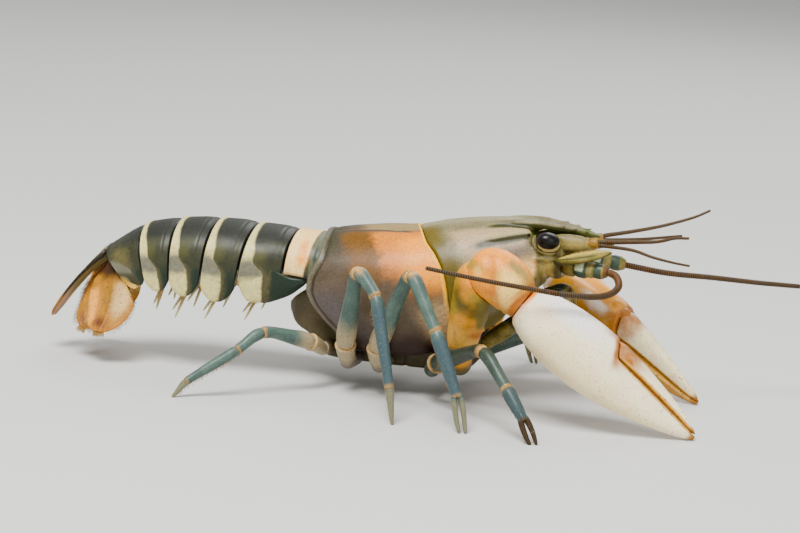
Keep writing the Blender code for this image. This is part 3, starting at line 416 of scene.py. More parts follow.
def newGroup(name, inputs, outputs):
    # a node group with these inputs and their defaults; a colour wherever the name says so
    group = bpy.data.node_groups.new(name, "ShaderNodeTree")
    for way, labels in (("INPUT", inputs), ("OUTPUT", outputs)):
        for label in labels:
            kind = "NodeSocketColor" if "Color" in label else "NodeSocketFloat"
            socket = group.interface.new_socket(name=label, in_out=way, socket_type=kind)
            if way == "INPUT":
                socket.default_value = inputs[label]
    return group, group.nodes.new("NodeGroupInput"), group.nodes.new("NodeGroupOutput")


def put(tree, kind, **values):
    node = tree.nodes.new(kind)
    for label, value in values.items():
        setattr(node, label, value)
    return node


def feed(tree, value, socket):
    # a constant or a link into a socket
    if isinstance(value, (int, float, tuple)):
        socket.default_value = value
    else:
        tree.links.new(value, socket)


def math2(tree, operation, a, b, clamp=False):
    node = put(tree, "ShaderNodeMath", operation=operation, use_clamp=clamp)
    feed(tree, a, node.inputs[0])
    feed(tree, b, node.inputs[1])
    return node.outputs[0]


def colourMix(tree, factor, a, b):
    node = put(tree, "ShaderNodeMix", data_type="RGBA")
    for place, value in (("Factor", factor), (6, a), (7, b)):
        feed(tree, value, node.inputs[place])
    return node.outputs[2]


def ramp(tree, value, start, end, low=0.0, high=1.0, easing="SMOOTHSTEP"):
    # low where the value is at start, high where it is at end
    node = put(tree, "ShaderNodeMapRange", interpolation_type=easing)
    given = {"Value": value, "From Min": start, "From Max": end, "To Min": low, "To Max": high}
    for label, number in given.items():
        feed(tree, number, node.inputs[label])
    return node.outputs[0]


def texture(tree, kind, scale, **values):
    # a texture laid out on the object itself
    node = put(tree, kind)
    tree.links.new(put(tree, "ShaderNodeTexCoord").outputs["Object"], node.inputs["Vector"])
    feed(tree, scale, node.inputs["Scale"])
    for label, value in values.items():
        node.inputs[label].default_value = value
    return node


def makeRaggedPatch():
    # a second colour where a painted mask is high, its edge broken up by noise
    group, ins, outs = newGroup("raggedPatch", {
        "Base Color": (0.5, 0.5, 0.5, 1), "Patch Color": (1, 1, 1, 1), "Mask": 0.0, "Ragged": 0.3,
        "Grain": 800.0, "Soft": 0.6}, ["Color"])
    cloud = texture(group, "ShaderNodeTexNoise", ins.outputs["Grain"], Detail=5)
    wobble = math2(group, "MULTIPLY", math2(group, "SUBTRACT", cloud.outputs[0], 0.5), ins.outputs["Ragged"])
    # the noise only moves the patch's edge, so that nothing shows where the mask is empty
    edge = math2(group, "MULTIPLY", math2(group, "MULTIPLY", ins.outputs["Mask"], 4.0, True), wobble)
    level = math2(group, "ADD", ins.outputs["Mask"], edge)
    half = math2(group, "MULTIPLY", ins.outputs["Soft"], 0.5)
    share = ramp(group, level, math2(group, "SUBTRACT", 0.5, half), math2(group, "ADD", 0.5, half))
    group.links.new(colourMix(group, share, ins.outputs["Base Color"], ins.outputs["Patch Color"]),
                    outs.inputs["Color"])
    return group


def makeSpeckles():
    # round specks in a share of the cells of a fine pattern
    group, ins, outs = newGroup("speckles", {
        "Base Color": (0.5, 0.5, 0.5, 1), "Speck Color": (0, 0, 0, 1), "Density": 1500.0, "Share": 0.2,
        "Mask": 1.0}, ["Color", "Height"])
    cells = texture(group, "ShaderNodeTexVoronoi", ins.outputs["Density"])
    dot = ramp(group, cells.outputs["Distance"], 0.42, 0.2)
    parts = put(group, "ShaderNodeSeparateColor")
    group.links.new(cells.outputs["Color"], parts.inputs["Color"])
    wanted = math2(group, "MULTIPLY", ins.outputs["Share"], ins.outputs["Mask"])
    chosen = math2(group, "LESS_THAN", parts.outputs["Red"], wanted)
    strength = math2(group, "ADD", math2(group, "MULTIPLY", parts.outputs["Green"], 0.6), 0.4)
    spot = math2(group, "MULTIPLY", math2(group, "MULTIPLY", dot, chosen), strength)
    group.links.new(colourMix(group, spot, ins.outputs["Base Color"], ins.outputs["Speck Color"]),
                    outs.inputs["Color"])
    group.links.new(spot, outs.inputs["Height"])
    return group


def makeShellRelief():
    # height of the shell's fine waves and pits, and a slow drift for colour and gloss
    group, ins, outs = newGroup("shellRelief", {"Grain": 1200.0, "Pits": 0.5}, ["Height", "Drift"])
    grain = ins.outputs["Grain"]
    broad = texture(group, "ShaderNodeTexNoise", math2(group, "MULTIPLY", grain, 0.3))
    fine = texture(group, "ShaderNodeTexNoise", math2(group, "MULTIPLY", grain, 1.6))
    pits = texture(group, "ShaderNodeTexVoronoi", grain)
    sunk = math2(group, "MULTIPLY", ramp(group, pits.outputs["Distance"], 0.32, 0.05), ins.outputs["Pits"])
    waves = math2(group, "ADD", broad.outputs[0], math2(group, "MULTIPLY", fine.outputs[0], 0.35))
    group.links.new(math2(group, "SUBTRACT", waves, sunk), outs.inputs["Height"])
    group.links.new(broad.outputs[0], outs.inputs["Drift"])
    return group


def makeMottle():
    # fine light and dark flecks all over a colour
    group, ins, outs = newGroup("shellMottle", {
        "Base Color": (0.5, 0.5, 0.5, 1), "Grain": 2400.0, "Amount": 0.3}, ["Color"])
    cloud = texture(group, "ShaderNodeTexNoise", ins.outputs["Grain"], Detail=4.0, Roughness=0.75)
    spread = math2(group, "MULTIPLY", math2(group, "SUBTRACT", cloud.outputs[0], 0.5), 3.0)
    factor = math2(group, "ADD", math2(group, "MULTIPLY", spread, ins.outputs["Amount"]), 1.0)
    flecks = put(group, "ShaderNodeVectorMath", operation="SCALE")
    group.links.new(ins.outputs["Base Color"], flecks.inputs[0])
    group.links.new(factor, flecks.inputs["Scale"])
    group.links.new(flecks.outputs[0], outs.inputs["Color"])
    return group


raggedPatch, speckles = makeRaggedPatch(), makeSpeckles()
shellRelief, shellMottle = makeShellRelief(), makeMottle()


def useGroup(tree, group, **values):
    node = tree.nodes.new("ShaderNodeGroup")
    node.node_tree = group
    for label, value in values.items():
        feed(tree, value, node.inputs[label.replace("_", " ")])
    return node


plainLook = {
    "grain": 1200, "pits": 0.4, "mottle": 0.3, "bump": 0.35, "bumpDepth": 0.06, "rough": (0.3, 0.45),
    "coat": 0.05, "specular": 0.25, "glow": 0.0, "patches": (), "specks": (),
}


def paintMaterial(name, wanted):
    # base colour, then patches by painted mask, then specks, relief and gloss
    look = {**plainLook, **wanted}
    material = bpy.data.materials.new(name)
    material.use_nodes = True
    tree = material.node_tree
    shader = tree.nodes["Principled BSDF"]
    grain = float(look["grain"])
    relief = useGroup(tree, shellRelief, Grain=grain, Pits=look["pits"])
    drift = relief.outputs["Drift"]
    colour = colourMix(tree, ramp(tree, drift, 0.35, 0.65, easing="LINEAR"), tone(*look["base"]),
                       tone(*look["base2"]))
    for label, shade, ragged, soft, size in look["patches"]:
        mask = put(tree, "ShaderNodeAttribute", attribute_name=label).outputs["Fac"]
        colour = useGroup(tree, raggedPatch, Base_Color=colour, Patch_Color=tone(*shade), Mask=mask,
                          Ragged=ragged, Soft=soft, Grain=float(size)).outputs["Color"]
    colour = useGroup(tree, shellMottle, Base_Color=colour, Grain=grain * 1.7,
                      Amount=look["mottle"]).outputs["Color"]
    height = relief.outputs["Height"]
    for label, shade, density, share in look["specks"]:
        node = useGroup(tree, speckles, Base_Color=colour, Speck_Color=tone(*shade), Density=float(density),
                        Share=share)
        if label:
            mask = put(tree, "ShaderNodeAttribute", attribute_name=label).outputs["Fac"]
            tree.links.new(mask, node.inputs["Mask"])
        colour = node.outputs["Color"]
        height = math2(tree, "ADD", height, math2(tree, "MULTIPLY", node.outputs["Height"], 0.15))
    dent = put(tree, "ShaderNodeBump")
    dent.inputs["Strength"].default_value = look["bump"]
    dent.inputs["Distance"].default_value = look["bumpDepth"] * mm
    tree.links.new(height, dent.inputs["Height"])
    shine = ramp(tree, drift, 0.3, 0.7, *look["rough"], easing="LINEAR")
    for label, value in (
            ("Base Color", colour), ("Normal", dent.outputs[0]), ("Roughness", shine),
            ("Coat Weight", look["coat"]), ("Coat Roughness", 0.2),
            ("Specular IOR Level", look["specular"]), ("Subsurface Weight", look["glow"]),
            ("Subsurface Radius", (1.0, 0.5, 0.3)), ("Subsurface Scale", 0.8 * mm)):
        feed(tree, value, shader.inputs[label])
    return material


# Carapace

carapace = {
    # x, top z, half width, z of the widest place, z of the lower margin, half width there
    "sections": [
        (-3, 28.4, 10.6, 19.4, 8.8, 8.6), (0, 29.1, 11.3, 19.0, 8.4, 8.9), (5, 30.1, 12.2, 18.4, 8.1, 9.0),
        (10, 30.8, 12.7, 18.0, 7.8, 8.9), (17, 31.5, 12.9, 18.0, 7.7, 8.5), (23, 33.0, 12.2, 19.0, 9.0, 7.9),
        (29, 34.0, 10.8, 20.6, 11.8, 6.9), (34, 34.5, 9.4, 22.6, 15.2, 6.2), (38, 34.6, 8.2, 25.0, 19.6, 5.8),
        (43, 34.3, 6.7, 27.2, 23.9, 5.2)],
    # edges: s = 0 at the top of the back, 1 at the widest place, 2 at the lower margin
    "rearEdge": [(0, -0.8), (0.4, -0.2), (0.6, -0.3), (0.8, -1.1), (0.92, -1.8), (1.02, -1.9), (1.15, -1.0),
                 (1.3, 1.2), (1.5, 4.4), (2, 8.4)],
    "grooveEdge": [(0, 17.1), (0.4, 20.0), (0.6, 22.5), (0.8, 24.5), (1.0, 25.6), (2, 28.0)],
    "frontEdge": [(0, 40.0), (0.35, 39.2), (0.6, 39.4), (0.8, 41.2), (1.0, 42.4), (2, 42.8)],
    "arch": 0.92,               # power of the back's curve
    "insetCentre": 1.5,         # height over the widest place that insets draw towards
    "floorLift": 0.9,
    "thoraxRows": 120, "sideSteps": 170,
    "rim": 0.1,                 # height of the raised rear rim
    "furrow": 0.14,             # depth of the two furrows along the back
    "warts": 0.12,              # height of the warts behind the groove
}


def shellAt(x, s, inset):
    top, half, wide, margin, marginHalf = np.moveaxis(curveAt(carapace["sections"], x), -1, 0)
    a = np.clip(s, 0, 1) * math.pi / 2
    b = np.clip(s - 1, 0, 1) * math.pi / 2
    y = np.where(s <= 1, half * np.sin(a), marginHalf + (half - marginHalf) * np.cos(b))
    arch = wide + (top - wide) * np.maximum(np.cos(a), 0) ** carapace["arch"]
    z = np.where(s <= 1, arch, wide - (wide - margin) * np.sin(b))
    above = z - wide - carapace["insetCentre"]
    reach = np.hypot(y, above)
    return np.stack([x, y - y / reach * inset, z - above / reach * inset], -1)


def shellPlace(points):
    # s of points on or near the shell, from where they are
    top, half, wide, margin, _ = np.moveaxis(curveAt(carapace["sections"], points[:, 0]), -1, 0)
    y, z = np.abs(points[:, 1]), points[:, 2]
    height = np.maximum((z - wide) / (top - wide), 0) ** (1 / carapace["arch"])
    upper = np.arctan2(y / half, height) * 2 / math.pi
    lower = 1 + np.arcsin(np.clip((wide - z) / (wide - margin), 0, 1)) * 2 / math.pi
    return np.where(z >= wide, upper, lower)


def shellGrid(startEdge, endEdge, rows, insets, detail, steps):
    s = np.concatenate([np.linspace(0, 1, steps // 2), np.linspace(1, 2, steps // 2)[1:]])
    start, end = curveAt(startEdge, s), curveAt(endEdge, s)
    grid, places, xs = [], [], []
    for t, shift in rows:
        x = start * (1 - t) + end * t + shift
        inset = curveAt(insets, t)
        side = shellAt(x, s, inset - detail(t, x, s))
        margin = side[-1]
        lift = carapace["floorLift"] - inset * 0.3
        turns = np.array([margin, margin + (0, -1.2, lift), (margin[0], margin[1] * 0.45, margin[2] + lift),
                          (margin[0], 0, margin[2] + lift)])
        under = softLoop(turns, 4, closed=False)[1:]
        half = np.vstack([side, under])
        grid.append(np.vstack([half, half[1:-1][::-1] * (1, -1, 1)]))
        places.append(andBack(np.concatenate([s, np.full(len(under), 2.2)])))
        xs.append(andBack(np.concatenate([x, np.full(len(under), x[-1])])))
    return np.array(grid), np.array(places), np.array(xs)


def thoraxDetail(t, x, s):
    run = x - curveAt(carapace["rearEdge"], s)
    raised = carapace["rim"] * (hill(run, 0.55, 0.4) - 1.3 * hill(run, 1.5, 0.5))
    raised = raised + 0.12 * hill(s, 1.97, 0.03) - 0.1 * hill(s, 1.88, 0.04)
    # the two furrows that part the gills' covers from the middle of the back
    line = 0.13 + 0.16 * max(0.0, (t - 0.45) / 0.55) ** 1.4
    furrow = carapace["furrow"] * hill(s, line, 0.02) * span(t, 0.05, 0.15, 0.93, 0.99)
    wart = np.maximum(0, np.sin(x * 3.3 + s * 9) * np.sin(s * 62 - x * 1.2)) ** 3
    wart = carapace["warts"] * wart * fade(t, 0.6, 0.9) * hill(s, 1.05, 0.3)
    return raised - furrow + wart


def buildThorax():
    insets = [(0, 0.8), (0.004, 0.42), (0.01, 0.12), (0.018, 0.0), (0.97, 0.0), (0.99, 0.08), (0.997, 0.2),
              (1.0, 0.5)]
    shares = np.concatenate([[0, 0.002, 0.004, 0.007, 0.01, 0.014, 0.018],
                             np.linspace(0.024, 0.96, carapace["thoraxRows"]),
                             [0.968, 0.976, 0.984, 0.989, 0.993, 0.997, 1.0]])
    rows = [(0.0, 1.9)] + [(t, -0.03 * fade(t, 0.95, 1.0)) for t in shares]
    grid, s, x = shellGrid(carapace["rearEdge"], carapace["grooveEdge"], rows,
                           insets, thoraxDetail, carapace["sideSteps"])
    grid = grid + (lumps(grid, 5.0)[..., None] * 0.05) * (0, 1, 1)
    run = x - curveAt(carapace["rearEdge"], s)
    t = run / np.maximum(curveAt(carapace["grooveEdge"], s) - curveAt(carapace["rearEdge"], s), 1)
    masks = {
        "blaze": fade(t, 0.24, 0.56) * fade(s + 0.3 * (1 - t), 1.04, 0.66) * fade(s, 0.17, 0.3),
        "gold": fade(t, 0.55, 0.95) * span(s, 0.26, 0.42, 0.7, 1.08),
        "yellowRim": fade(t, 0.962, 0.985) * (0.85 - 0.45 * fade(s, 0.8, 1.2)),
        "oliveBack": fade(t, 0.34, 0.04) * fade(s, 0.8, 0.35),
        # painted highlight: the top of the back is made lighter, as where the light falls on it
        "saddle": fade(s, 0.26, 0.17) * fade(t, 0.22, 0.6),
        "backLine": hill(s, 0.2 + 0.03 * t, 0.02) * span(t, 0.08, 0.2, 0.8, 0.95),
        "blue": hill(s, 1.25, 0.3) * hill(t, 0.2, 0.2),
        "low": fade(s + 0.2 * fade(t, 0.2, 0.7), 1.3, 1.8),
        "front": fade(t, 0.68, 0.98) * span(s, 0.85, 1.15, 1.45, 1.75),
        "rimPale": hill(run, 0.5, 0.5) * (1 - 0.6 * fade(s, 1.0, 1.3)),
        "rimDark": hill(run, 1.5, 0.28) * fade(s, 1.9, 1.6),
        "burn": hill(t, 0.42, 0.16) * hill(s, 0.62, 0.26) + hill(t, 0.32, 0.14) * hill(s, 0.32, 0.16),
        "freckled": span(s, 0.1, 0.3, 1.0, 1.5) * (1 - 0.6 * fade(t, 0.5, 0.9)),
        "rearDots": fade(t, 0.3, 0.1) * fade(s, 1.3, 0.9),
    }
    makePiece("thoraxSkin", [wrap(grid, masks)], ["thorax"], thoraxPaint)
    print("thorax skin made")


thoraxPaint = paintMaterial("thoraxPaint", {
    "base": (121, 99, 86), "base2": (103, 84, 70), "grain": 1100, "pits": 0.5, "rough": (0.36, 0.52),
    "mottle": 0.4,
    "patches": [
        ("blue", (112, 100, 100), 0.5, 1.0, 260), ("low", (72, 42, 26), 0.5, 1.0, 260),
        ("oliveBack", (84, 78, 60), 0.6, 1.0, 300), ("blaze", (208, 144, 44), 0.7, 1.0, 420),
        ("gold", (250, 194, 78), 0.35, 1.0, 300), ("burn", (148, 92, 44), 1.0, 0.7, 900),
        # the pale patch on the top of the back is a painted highlight
        ("saddle", (176, 150, 112), 0.4, 0.8, 300), ("backLine", (104, 88, 78), 0.3, 0.8, 400),
        ("front", (188, 164, 136), 0.4, 1.0, 250), ("yellowRim", (222, 194, 132), 0.3, 0.9, 400),
        ("rimDark", (70, 58, 48), 0.3, 0.9, 500), ("rimPale", (128, 120, 100), 0.3, 0.9, 500)],
    "specks": [("freckled", (104, 72, 44), 3600, 0.35), ("rearDots", (150, 136, 98), 4200, 0.28),
               ("burn", (96, 58, 30), 3000, 0.45)],
})
buildThorax()


# Head with its rostrum, ridges and face

headForm = {
    # rostrum: x, half width, top z, thickness
    "rostrum": [(30.0, 2.4, 33.5, 1.8), (33.0, 3.1, 34.15, 2.2), (36.0, 3.8, 34.6, 2.6),
                (40.0, 3.7, 34.78, 2.5), (43.5, 2.9, 34.42, 2.1), (46.5, 2.2, 33.95, 1.7),
                (49.0, 1.5, 33.4, 1.3), (50.8, 0.8, 32.95, 0.9), (51.6, 0.3, 32.75, 0.5)],
    "teeth": (44.6, 46.8, 48.9),
    # face under the rostrum: x, upper half width, lower half width, top z, bottom z
    "face": [(36.0, 4.0, 6.0, 32.2, 23.4), (42.0, 3.6, 6.6, 32.4, 24.7), (44.6, 3.0, 6.4, 32.3, 24.3),
             (45.5, 2.6, 5.8, 31.8, 24.6)],
    # the ridge behind the eye: its rear end, its length, its place down the side and how much that rises
    "ridgeStart": 28.5, "ridgeLength": 9.6, "ridgeLevel": 0.5, "ridgeDrift": 0.035,
    "skinGrain": 0.17, "ease": 5,
}
eyes = {
    "centre": np.array([42.8, 6.3, 31.7]), "root": np.array([40.7, 2.5, 30.8]),
    "long": 2.25, "short": 1.6, "depth": 1.7, "stalkEnd": 3.95, "sides": 48,
    "clear": 0.08,              # room between the stalk's end and the eye
}


def eyeFrame(side):
    return mirrored(eyes["root"], side), unit(mirrored(eyes["centre"] - eyes["root"], side))


def rostrumSkin():
    rings = []
    for x in along(headForm["rostrum"], 90):
        half, top, thick = curveAt(headForm["rostrum"], x)
        profile = [(0, 0.3), (0.5, 0.24), (0.8, 0), (0.97, 0.12), (1, 0.4), (0.84, 0.75), (0.45, 0.95)]
        side = np.array([[x, half * a, top - b * thick] for a, b in profile])
        rings.append(bothHalves(side, (x, 0, top - thick), 4))
    return wrap(np.array(rings))


def faceSkin():
    rings = []
    for x in along(headForm["face"], 36):
        upper, lower, top, bottom = curveAt(headForm["face"], x)
        wide = bottom + 0.4 * (top - bottom)
        side = np.array([(x, 0, top), (x, upper * 0.75, top - 0.3), (x, upper, top - 1.2), (x, lower, wide),
                         (x, lower * 0.92, bottom + 0.9), (x, lower * 0.6, bottom)])
        rings.append(bothHalves(side, (x, 0, bottom - 0.2), 5))
    return wrap(np.array(rings))


def stalkGrid(side, swell=0.0):
    root, axis = eyeFrame(side)
    keys = [(-swell, 1.15, 1.0), (1.0, 1.25, 1.1), (2.4, 1.7, 1.4), (3.4, 2.15, 1.7), (3.8, 2.28, 1.8),
            (3.95, 2.12, 1.64)]
    d = np.linspace(-swell, eyes["stalkEnd"], 34)
    # the stalk's cup reaches a little further below and ahead of the eye
    path = root + axis * d[:, None] + fade(d, 2.4, 3.8)[:, None] * np.array([0.28, 0, -0.34])
    return tubeGrid(path, curveAt(keys, d) + swell, eyes["sides"], (1, 0, 0)), d


def corneaGrid(side, swell=0.0):
    root, axis = eyeFrame(side)
    start = root + axis * (eyes["stalkEnd"] + eyes["clear"] - swell)
    t = np.sin(np.linspace(0, math.pi / 2 - 0.03, 26))
    shrink = np.sqrt(1 - t * t)
    radii = np.stack([(eyes["long"] + swell) * shrink, (eyes["short"] + swell) * shrink], -1)
    depth = eyes["depth"] + gap - eyes["clear"] + 2 * swell
    return tubeGrid(start + axis * (depth * t)[:, None], radii, eyes["sides"], (1, 0, 0)), t


def buildHead():
    insets = [(0, 0.5), (0.004, 0.18), (0.01, 0.06), (0.02, 0.0), (0.93, 0.0), (0.98, 0.16), (1.0, 0.55)]
    shares = [*np.linspace(0, 0.03, 7), *np.linspace(0.045, 0.93, 60), *np.linspace(0.94, 1.0, 8)]
    rows = [(t, 0.05 * fade(t, 0.05, 0)) for t in shares]
    grid, _, _ = shellGrid(carapace["grooveEdge"], carapace["frontEdge"], rows,
                           insets, lambda t, x, s: 0.1 * hill(s, 1.96, 0.04), 110)
    clay = [wrap(grid), rostrumSkin(), faceSkin()]
    rooms = []
    for side in (-1, 1):
        for x in headForm["teeth"]:
            half, top, _ = curveAt(headForm["rostrum"], x)
            clay.append(thorn((x - 0.8, side * (half - 0.45), top - 0.4),
                              (x + 0.95, side * (half + 0.3), top + 0.12), 0.45))
        # the ridge behind the eye, ending in a spine
        at = np.linspace(0, 1, 30)
        ridge = shellAt(headForm["ridgeStart"] + headForm["ridgeLength"] * at,
                        headForm["ridgeLevel"] - headForm["ridgeDrift"] * at, 0.42 - 0.15 * at)
        ridge = mirrored(ridge, side)
        clay.append(wrap(tubeGrid(ridge, 0.2 + 0.5 * fade(at, 0, 0.5), 12)))
        clay.append(thorn(ridge[-3], mirrored(shellAt(39.7, 0.45, -0.42), side), 0.62))
        # a low rail from the rostrum's rim back over the head
        rail = mirrored(shellAt(27.5 + 8.5 * at, 0.17 + 0.08 * at, 0.36 - 0.1 * at), side)
        clay.append(wrap(tubeGrid(rail, 0.15 + 0.4 * fade(at, 0, 0.6), 12)))
        # cheek spine, and the rounded joint block under the eye
        cheek = mirrored(shellAt(40.4, 0.86, 0.3), side)
        clay.append(thorn(cheek, cheek + np.array([2.3, side * 0.5, 0.3]), 0.6))
        clay.append(knob((43.6, side * 5.4, 27.0), (1.9, 1.4, 2.2)))
        clay.append(knob((42.9, side * 6.2, 28.2), (1.5, 0.8, 0.8)))
        # the face fills the room between the eye, the rostrum and the small feelers
        clay.append(knob((46.3, side * 3.1, 30.95), (5.2, 1.45, 1.9)))
        # the eye's socket: a soft rim behind and below it
        turn = np.radians(np.linspace(100, 300, 40))
        c, s = np.cos(turn), np.sin(turn)
        rim = np.stack([42.9 + 2.75 * c, side * (6.35 - 0.25 * c), 31.5 + 2.3 * s], -1)
        clay.append(wrap(tubeGrid(rim, 0.2 + 0.28 * np.sin(np.linspace(0, math.pi, 40)), 10, (0, 1, 0))))
        rooms.append(wrap(stalkGrid(side, gap * 0.6)[0]))
        rooms.append(wrap(corneaGrid(side, gap + 0.3)[0]))
    skin = sculpt(clay, headForm["skinGrain"], headForm["ease"], rooms)
    p = skin["points"]
    s = shellPlace(p)
    x, y, z = p[:, 0], np.abs(p[:, 1]), p[:, 2]
    groove = x - curveAt(carapace["grooveEdge"], s)
    half, top, thick = np.moveaxis(curveAt(headForm["rostrum"], x), -1, 0)
    onRostrum = fade(x, 33, 36) * (y < half + 0.6)
    under = (top - z) / thick
    ridgeShare = (x - headForm["ridgeStart"]) / headForm["ridgeLength"]
    ridgeS = headForm["ridgeLevel"] - headForm["ridgeDrift"] * ridgeShare
    skin["masks"] = {
        "beige": span(s, 0.25, 0.4, 0.75, 1.1) * fade(groove, 2, 7) * fade(x, 40, 37.5),
        "oliveFront": fade(groove, 5.0, 1.0) * fade(s, 0.05, 0.3),
        "mauve": hill(s, 0.78, 0.2) * span(x, 32, 35, 38.5, 40.5),
        "cheekPale": hill(s, 1.05, 0.22) * span(x, 35.5, 38.5, 40.6, 41.8),
        "ridgePale": hill(s, ridgeS - 0.02, 0.05) * span(x, 28, 31, 38.4, 39.2),
        "ridgeDark": hill(s, ridgeS + 0.05, 0.055) * span(x, 28, 31, 38.6, 39.6),
        "railDark": np.maximum(
            onRostrum * span(under, 0.14, 0.34, 1.05, 1.3) * (z > 31.2),
            hill(s, 0.29, 0.04) * span(x, 29, 33, 35, 37)),
        "tipGreen": onRostrum * fade(x, 46, 49.5) * fade(under, 1.2, 0.9),
        "faceOlive": fade(x, 40.6, 41.8) * (z < 32.6),
        "faceBrown": fade(x, 41.0, 42.2) * fade(z, 28.5, 25.5),
        # painted shade: dark strokes along the face block's edges, under the eye's rim and where the shell's
        # front edge overhangs
        "faceLines": (0.6 * stroke(p, [(40.6, 31.5), (40.9, 29.6), (42.4, 28.7), (44.6, 28.9)], 0.5)
                      + 0.5 * stroke(p, [(40.9, 29.0), (41.0, 26.0), (40.8, 24.4)], 0.5)
                      + 0.6 * stroke(p, [(44.9, 28.6), (44.6, 26.0), (44.7, 24.6)], 0.5)
                      + 0.8 * stroke(p, [(45.4, 29.7), (47.2, 29.8)], 0.3)) * fade(x, 40, 40.8),
        "faceGold": (spot(p, 42.6, 27.0, 1.2, 1.6) + spot(p, 43.4, 25.2, 0.9, 0.7)
                     + 0.7 * spot(p, 47.6, 31.3, 2.4, 1.2)),
        "socket": (stroke(p, [(41.2, 30.4), (41.8, 29.8), (42.9, 29.5), (44.4, 29.8)], 0.22)
                   * fade(y, 5.4, 6.0)),
        "spineSpot": spot(p, 38.9, 32.25, 0.42, 0.4) * (y > 5),
        "lowOlive": fade(s, 1.3, 1.65) * fade(x, 39, 36),
        "spineTip": fade(x, 38.8, 39.6) * hill(s, 0.46, 0.09) * fade(x, 40.8, 40.4),
        "topPale": fade(s, 0.22, 0.1) * fade(x, 38, 34),
        "duskBand": 0.4 * hill(s, 0.56, 0.07) * span(x, 26, 30, 33, 38),
        "freckled": fade(s, 0.15, 0.3) * fade(x, 48, 44),
    }
    makePiece("headSkin", [skin], ["head"], headPaint)
    print("head skin made")


headPaint = paintMaterial("headPaint", {
    "base": (164, 150, 120), "base2": (142, 128, 98), "grain": 1300, "pits": 0.45, "rough": (0.36, 0.52),
    "patches": [
        ("beige", (194, 175, 152), 0.6, 1.0, 300), ("duskBand", (136, 120, 112), 0.4, 1.0, 300),
        ("mauve", (146, 128, 116), 0.6, 1.0, 320), ("topPale", (172, 160, 134), 0.4, 1.0, 300),
        ("oliveFront", (134, 108, 50), 0.7, 1.0, 330), ("lowOlive", (134, 110, 60), 0.4, 1.0, 300),
        ("cheekPale", (220, 200, 174), 0.4, 0.9, 300), ("faceOlive", (150, 132, 88), 0.5, 0.8, 420),
        ("faceBrown", (122, 94, 50), 0.8, 0.9, 700), ("faceGold", (184, 164, 110), 0.7, 0.9, 700),
        # the dark strokes on the face are painted shade along its edges
        ("faceLines", (96, 78, 40), 0.7, 0.9, 700), ("socket", (196, 180, 140), 0.2, 0.8, 500),
        ("ridgePale", (192, 180, 150), 0.3, 0.8, 500), ("ridgeDark", (86, 80, 54), 0.4, 0.8, 400),
        ("railDark", (74, 72, 36), 0.4, 0.8, 380),
        ("tipGreen", (116, 116, 62), 0.4, 0.8, 500), ("spineTip", (160, 162, 84), 0.2, 0.8, 600),
        ("spineSpot", (44, 44, 20), 0.1, 0.6, 600)],
    "mottle": 0.4,
    "specks": [("freckled", (100, 84, 52), 3800, 0.35)],
})
buildHead()


# Eyes

stalkPaint = paintMaterial("stalkPaint", {
    "base": (176, 160, 112), "base2": (142, 124, 74), "grain": 2200, "rough": (0.4, 0.55),
    "patches": [("rimCream", (204, 190, 152), 0.3, 0.8, 900), ("stem", (112, 96, 52), 0.4, 0.9, 700)],
    "specks": [(None, (96, 80, 40), 3400, 0.2)],
})
corneaPaint = paintMaterial("corneaPaint", {
    "base": (14, 9, 18), "base2": (20, 13, 24), "grain": 5200, "pits": 0.5, "rough": (0.3, 0.36),
    "mottle": 0.1, "coat": 0.12, "bump": 0.05, "specular": 0.2,
    "patches": [("edge", (70, 56, 64), 0.1, 1.0, 900)],
})


def buildEyes():
    for side, word in bothSides:
        grid, d = stalkGrid(side)
        masks = {"rimCream": fade(d, 3.1, 3.6), "stem": fade(d, 2.0, 0.8)}
        makePiece(f"stalkSkin_{word}", [wrap(grid, masks)], [f"eyestalk_{word}"], stalkPaint)
        grid, t = corneaGrid(side)
        makePiece(f"eyeSkin_{word}", [wrap(grid, {"edge": fade(t, 0.62, 0.1)})], [f"eye_{word}"],
                  corneaPaint)
    print("eyes made")


buildEyes()


# Belly plates between the legs

belly = {
    # x, half width, bottom z, top z
    "keys": [(-6.6, 2.4, 12.8, 14.8), (-5.4, 3.8, 11.0, 16.0), (-3.2, 4.9, 9.6, 17.2), (-1.0, 5.2, 8.4, 17.6),
             (0.4, 5.3, 7.0, 15.6), (1.8, 5.3, 5.2, 14.0), (4.4, 5.3, 4.9, 11.4), (8.4, 5.3, 4.8, 8.3),
             (14.0, 5.3, 4.7, 8.2), (20.0, 5.3, 4.7, 8.3), (25.0, 5.3, 4.8, 9.3), (29.0, 5.3, 5.6, 11.2),
             (31.0, 4.6, 7.6, 12.0)],
    "plateJoints": (5.0, 10.4, 17.0, 25.2), "groove": 0.22,
}


def buildBelly():
    rings, masks = [], []
    for x in along(belly["keys"], 160):
        half, bottom, top = curveAt(belly["keys"], x)
        cut = sum(belly["groove"] * hill(x, joint, 0.35) for joint in belly["plateJoints"])
        side = np.array([(x, 0, top), (x, half * 0.97, top - 0.1), (x, half, top - 0.5),
                         (x, half, bottom + 0.9), (x, half * 0.86, bottom + 0.1 + cut),
                         (x, half * 0.35, bottom + cut)])
        rings.append(bothHalves(side, (x, 0, bottom + cut), 4))
        masks.append(min(cut / belly["groove"], 1.0))
    grid = np.array(rings)
    grid = grid + lumps(grid, 1.6)[..., None] * np.array([0.0, 0.12, 0.1]) * (grid[:, :, 2:] > 6)
    painted = {"seam": masks, "rear": fade(grid[..., 0], 2.5, -3.5)}
    makePiece("bellySkin", [wrap(grid, painted)], ["sternum"], bellyPaint)
    print("belly made")


bellyPaint = paintMaterial("bellyPaint", {
    "base": (112, 94, 62), "base2": (88, 70, 42), "grain": 900, "rough": (0.4, 0.55),
    "patches": [("rear", (112, 92, 70), 0.6, 1.0, 500), ("seam", (60, 44, 26), 0.3, 0.9, 600)],
    "specks": [(None, (70, 50, 28), 2400, 0.25), ("rear", (134, 116, 92), 2400, 0.25)],
})
buildBelly()


# Tail rings

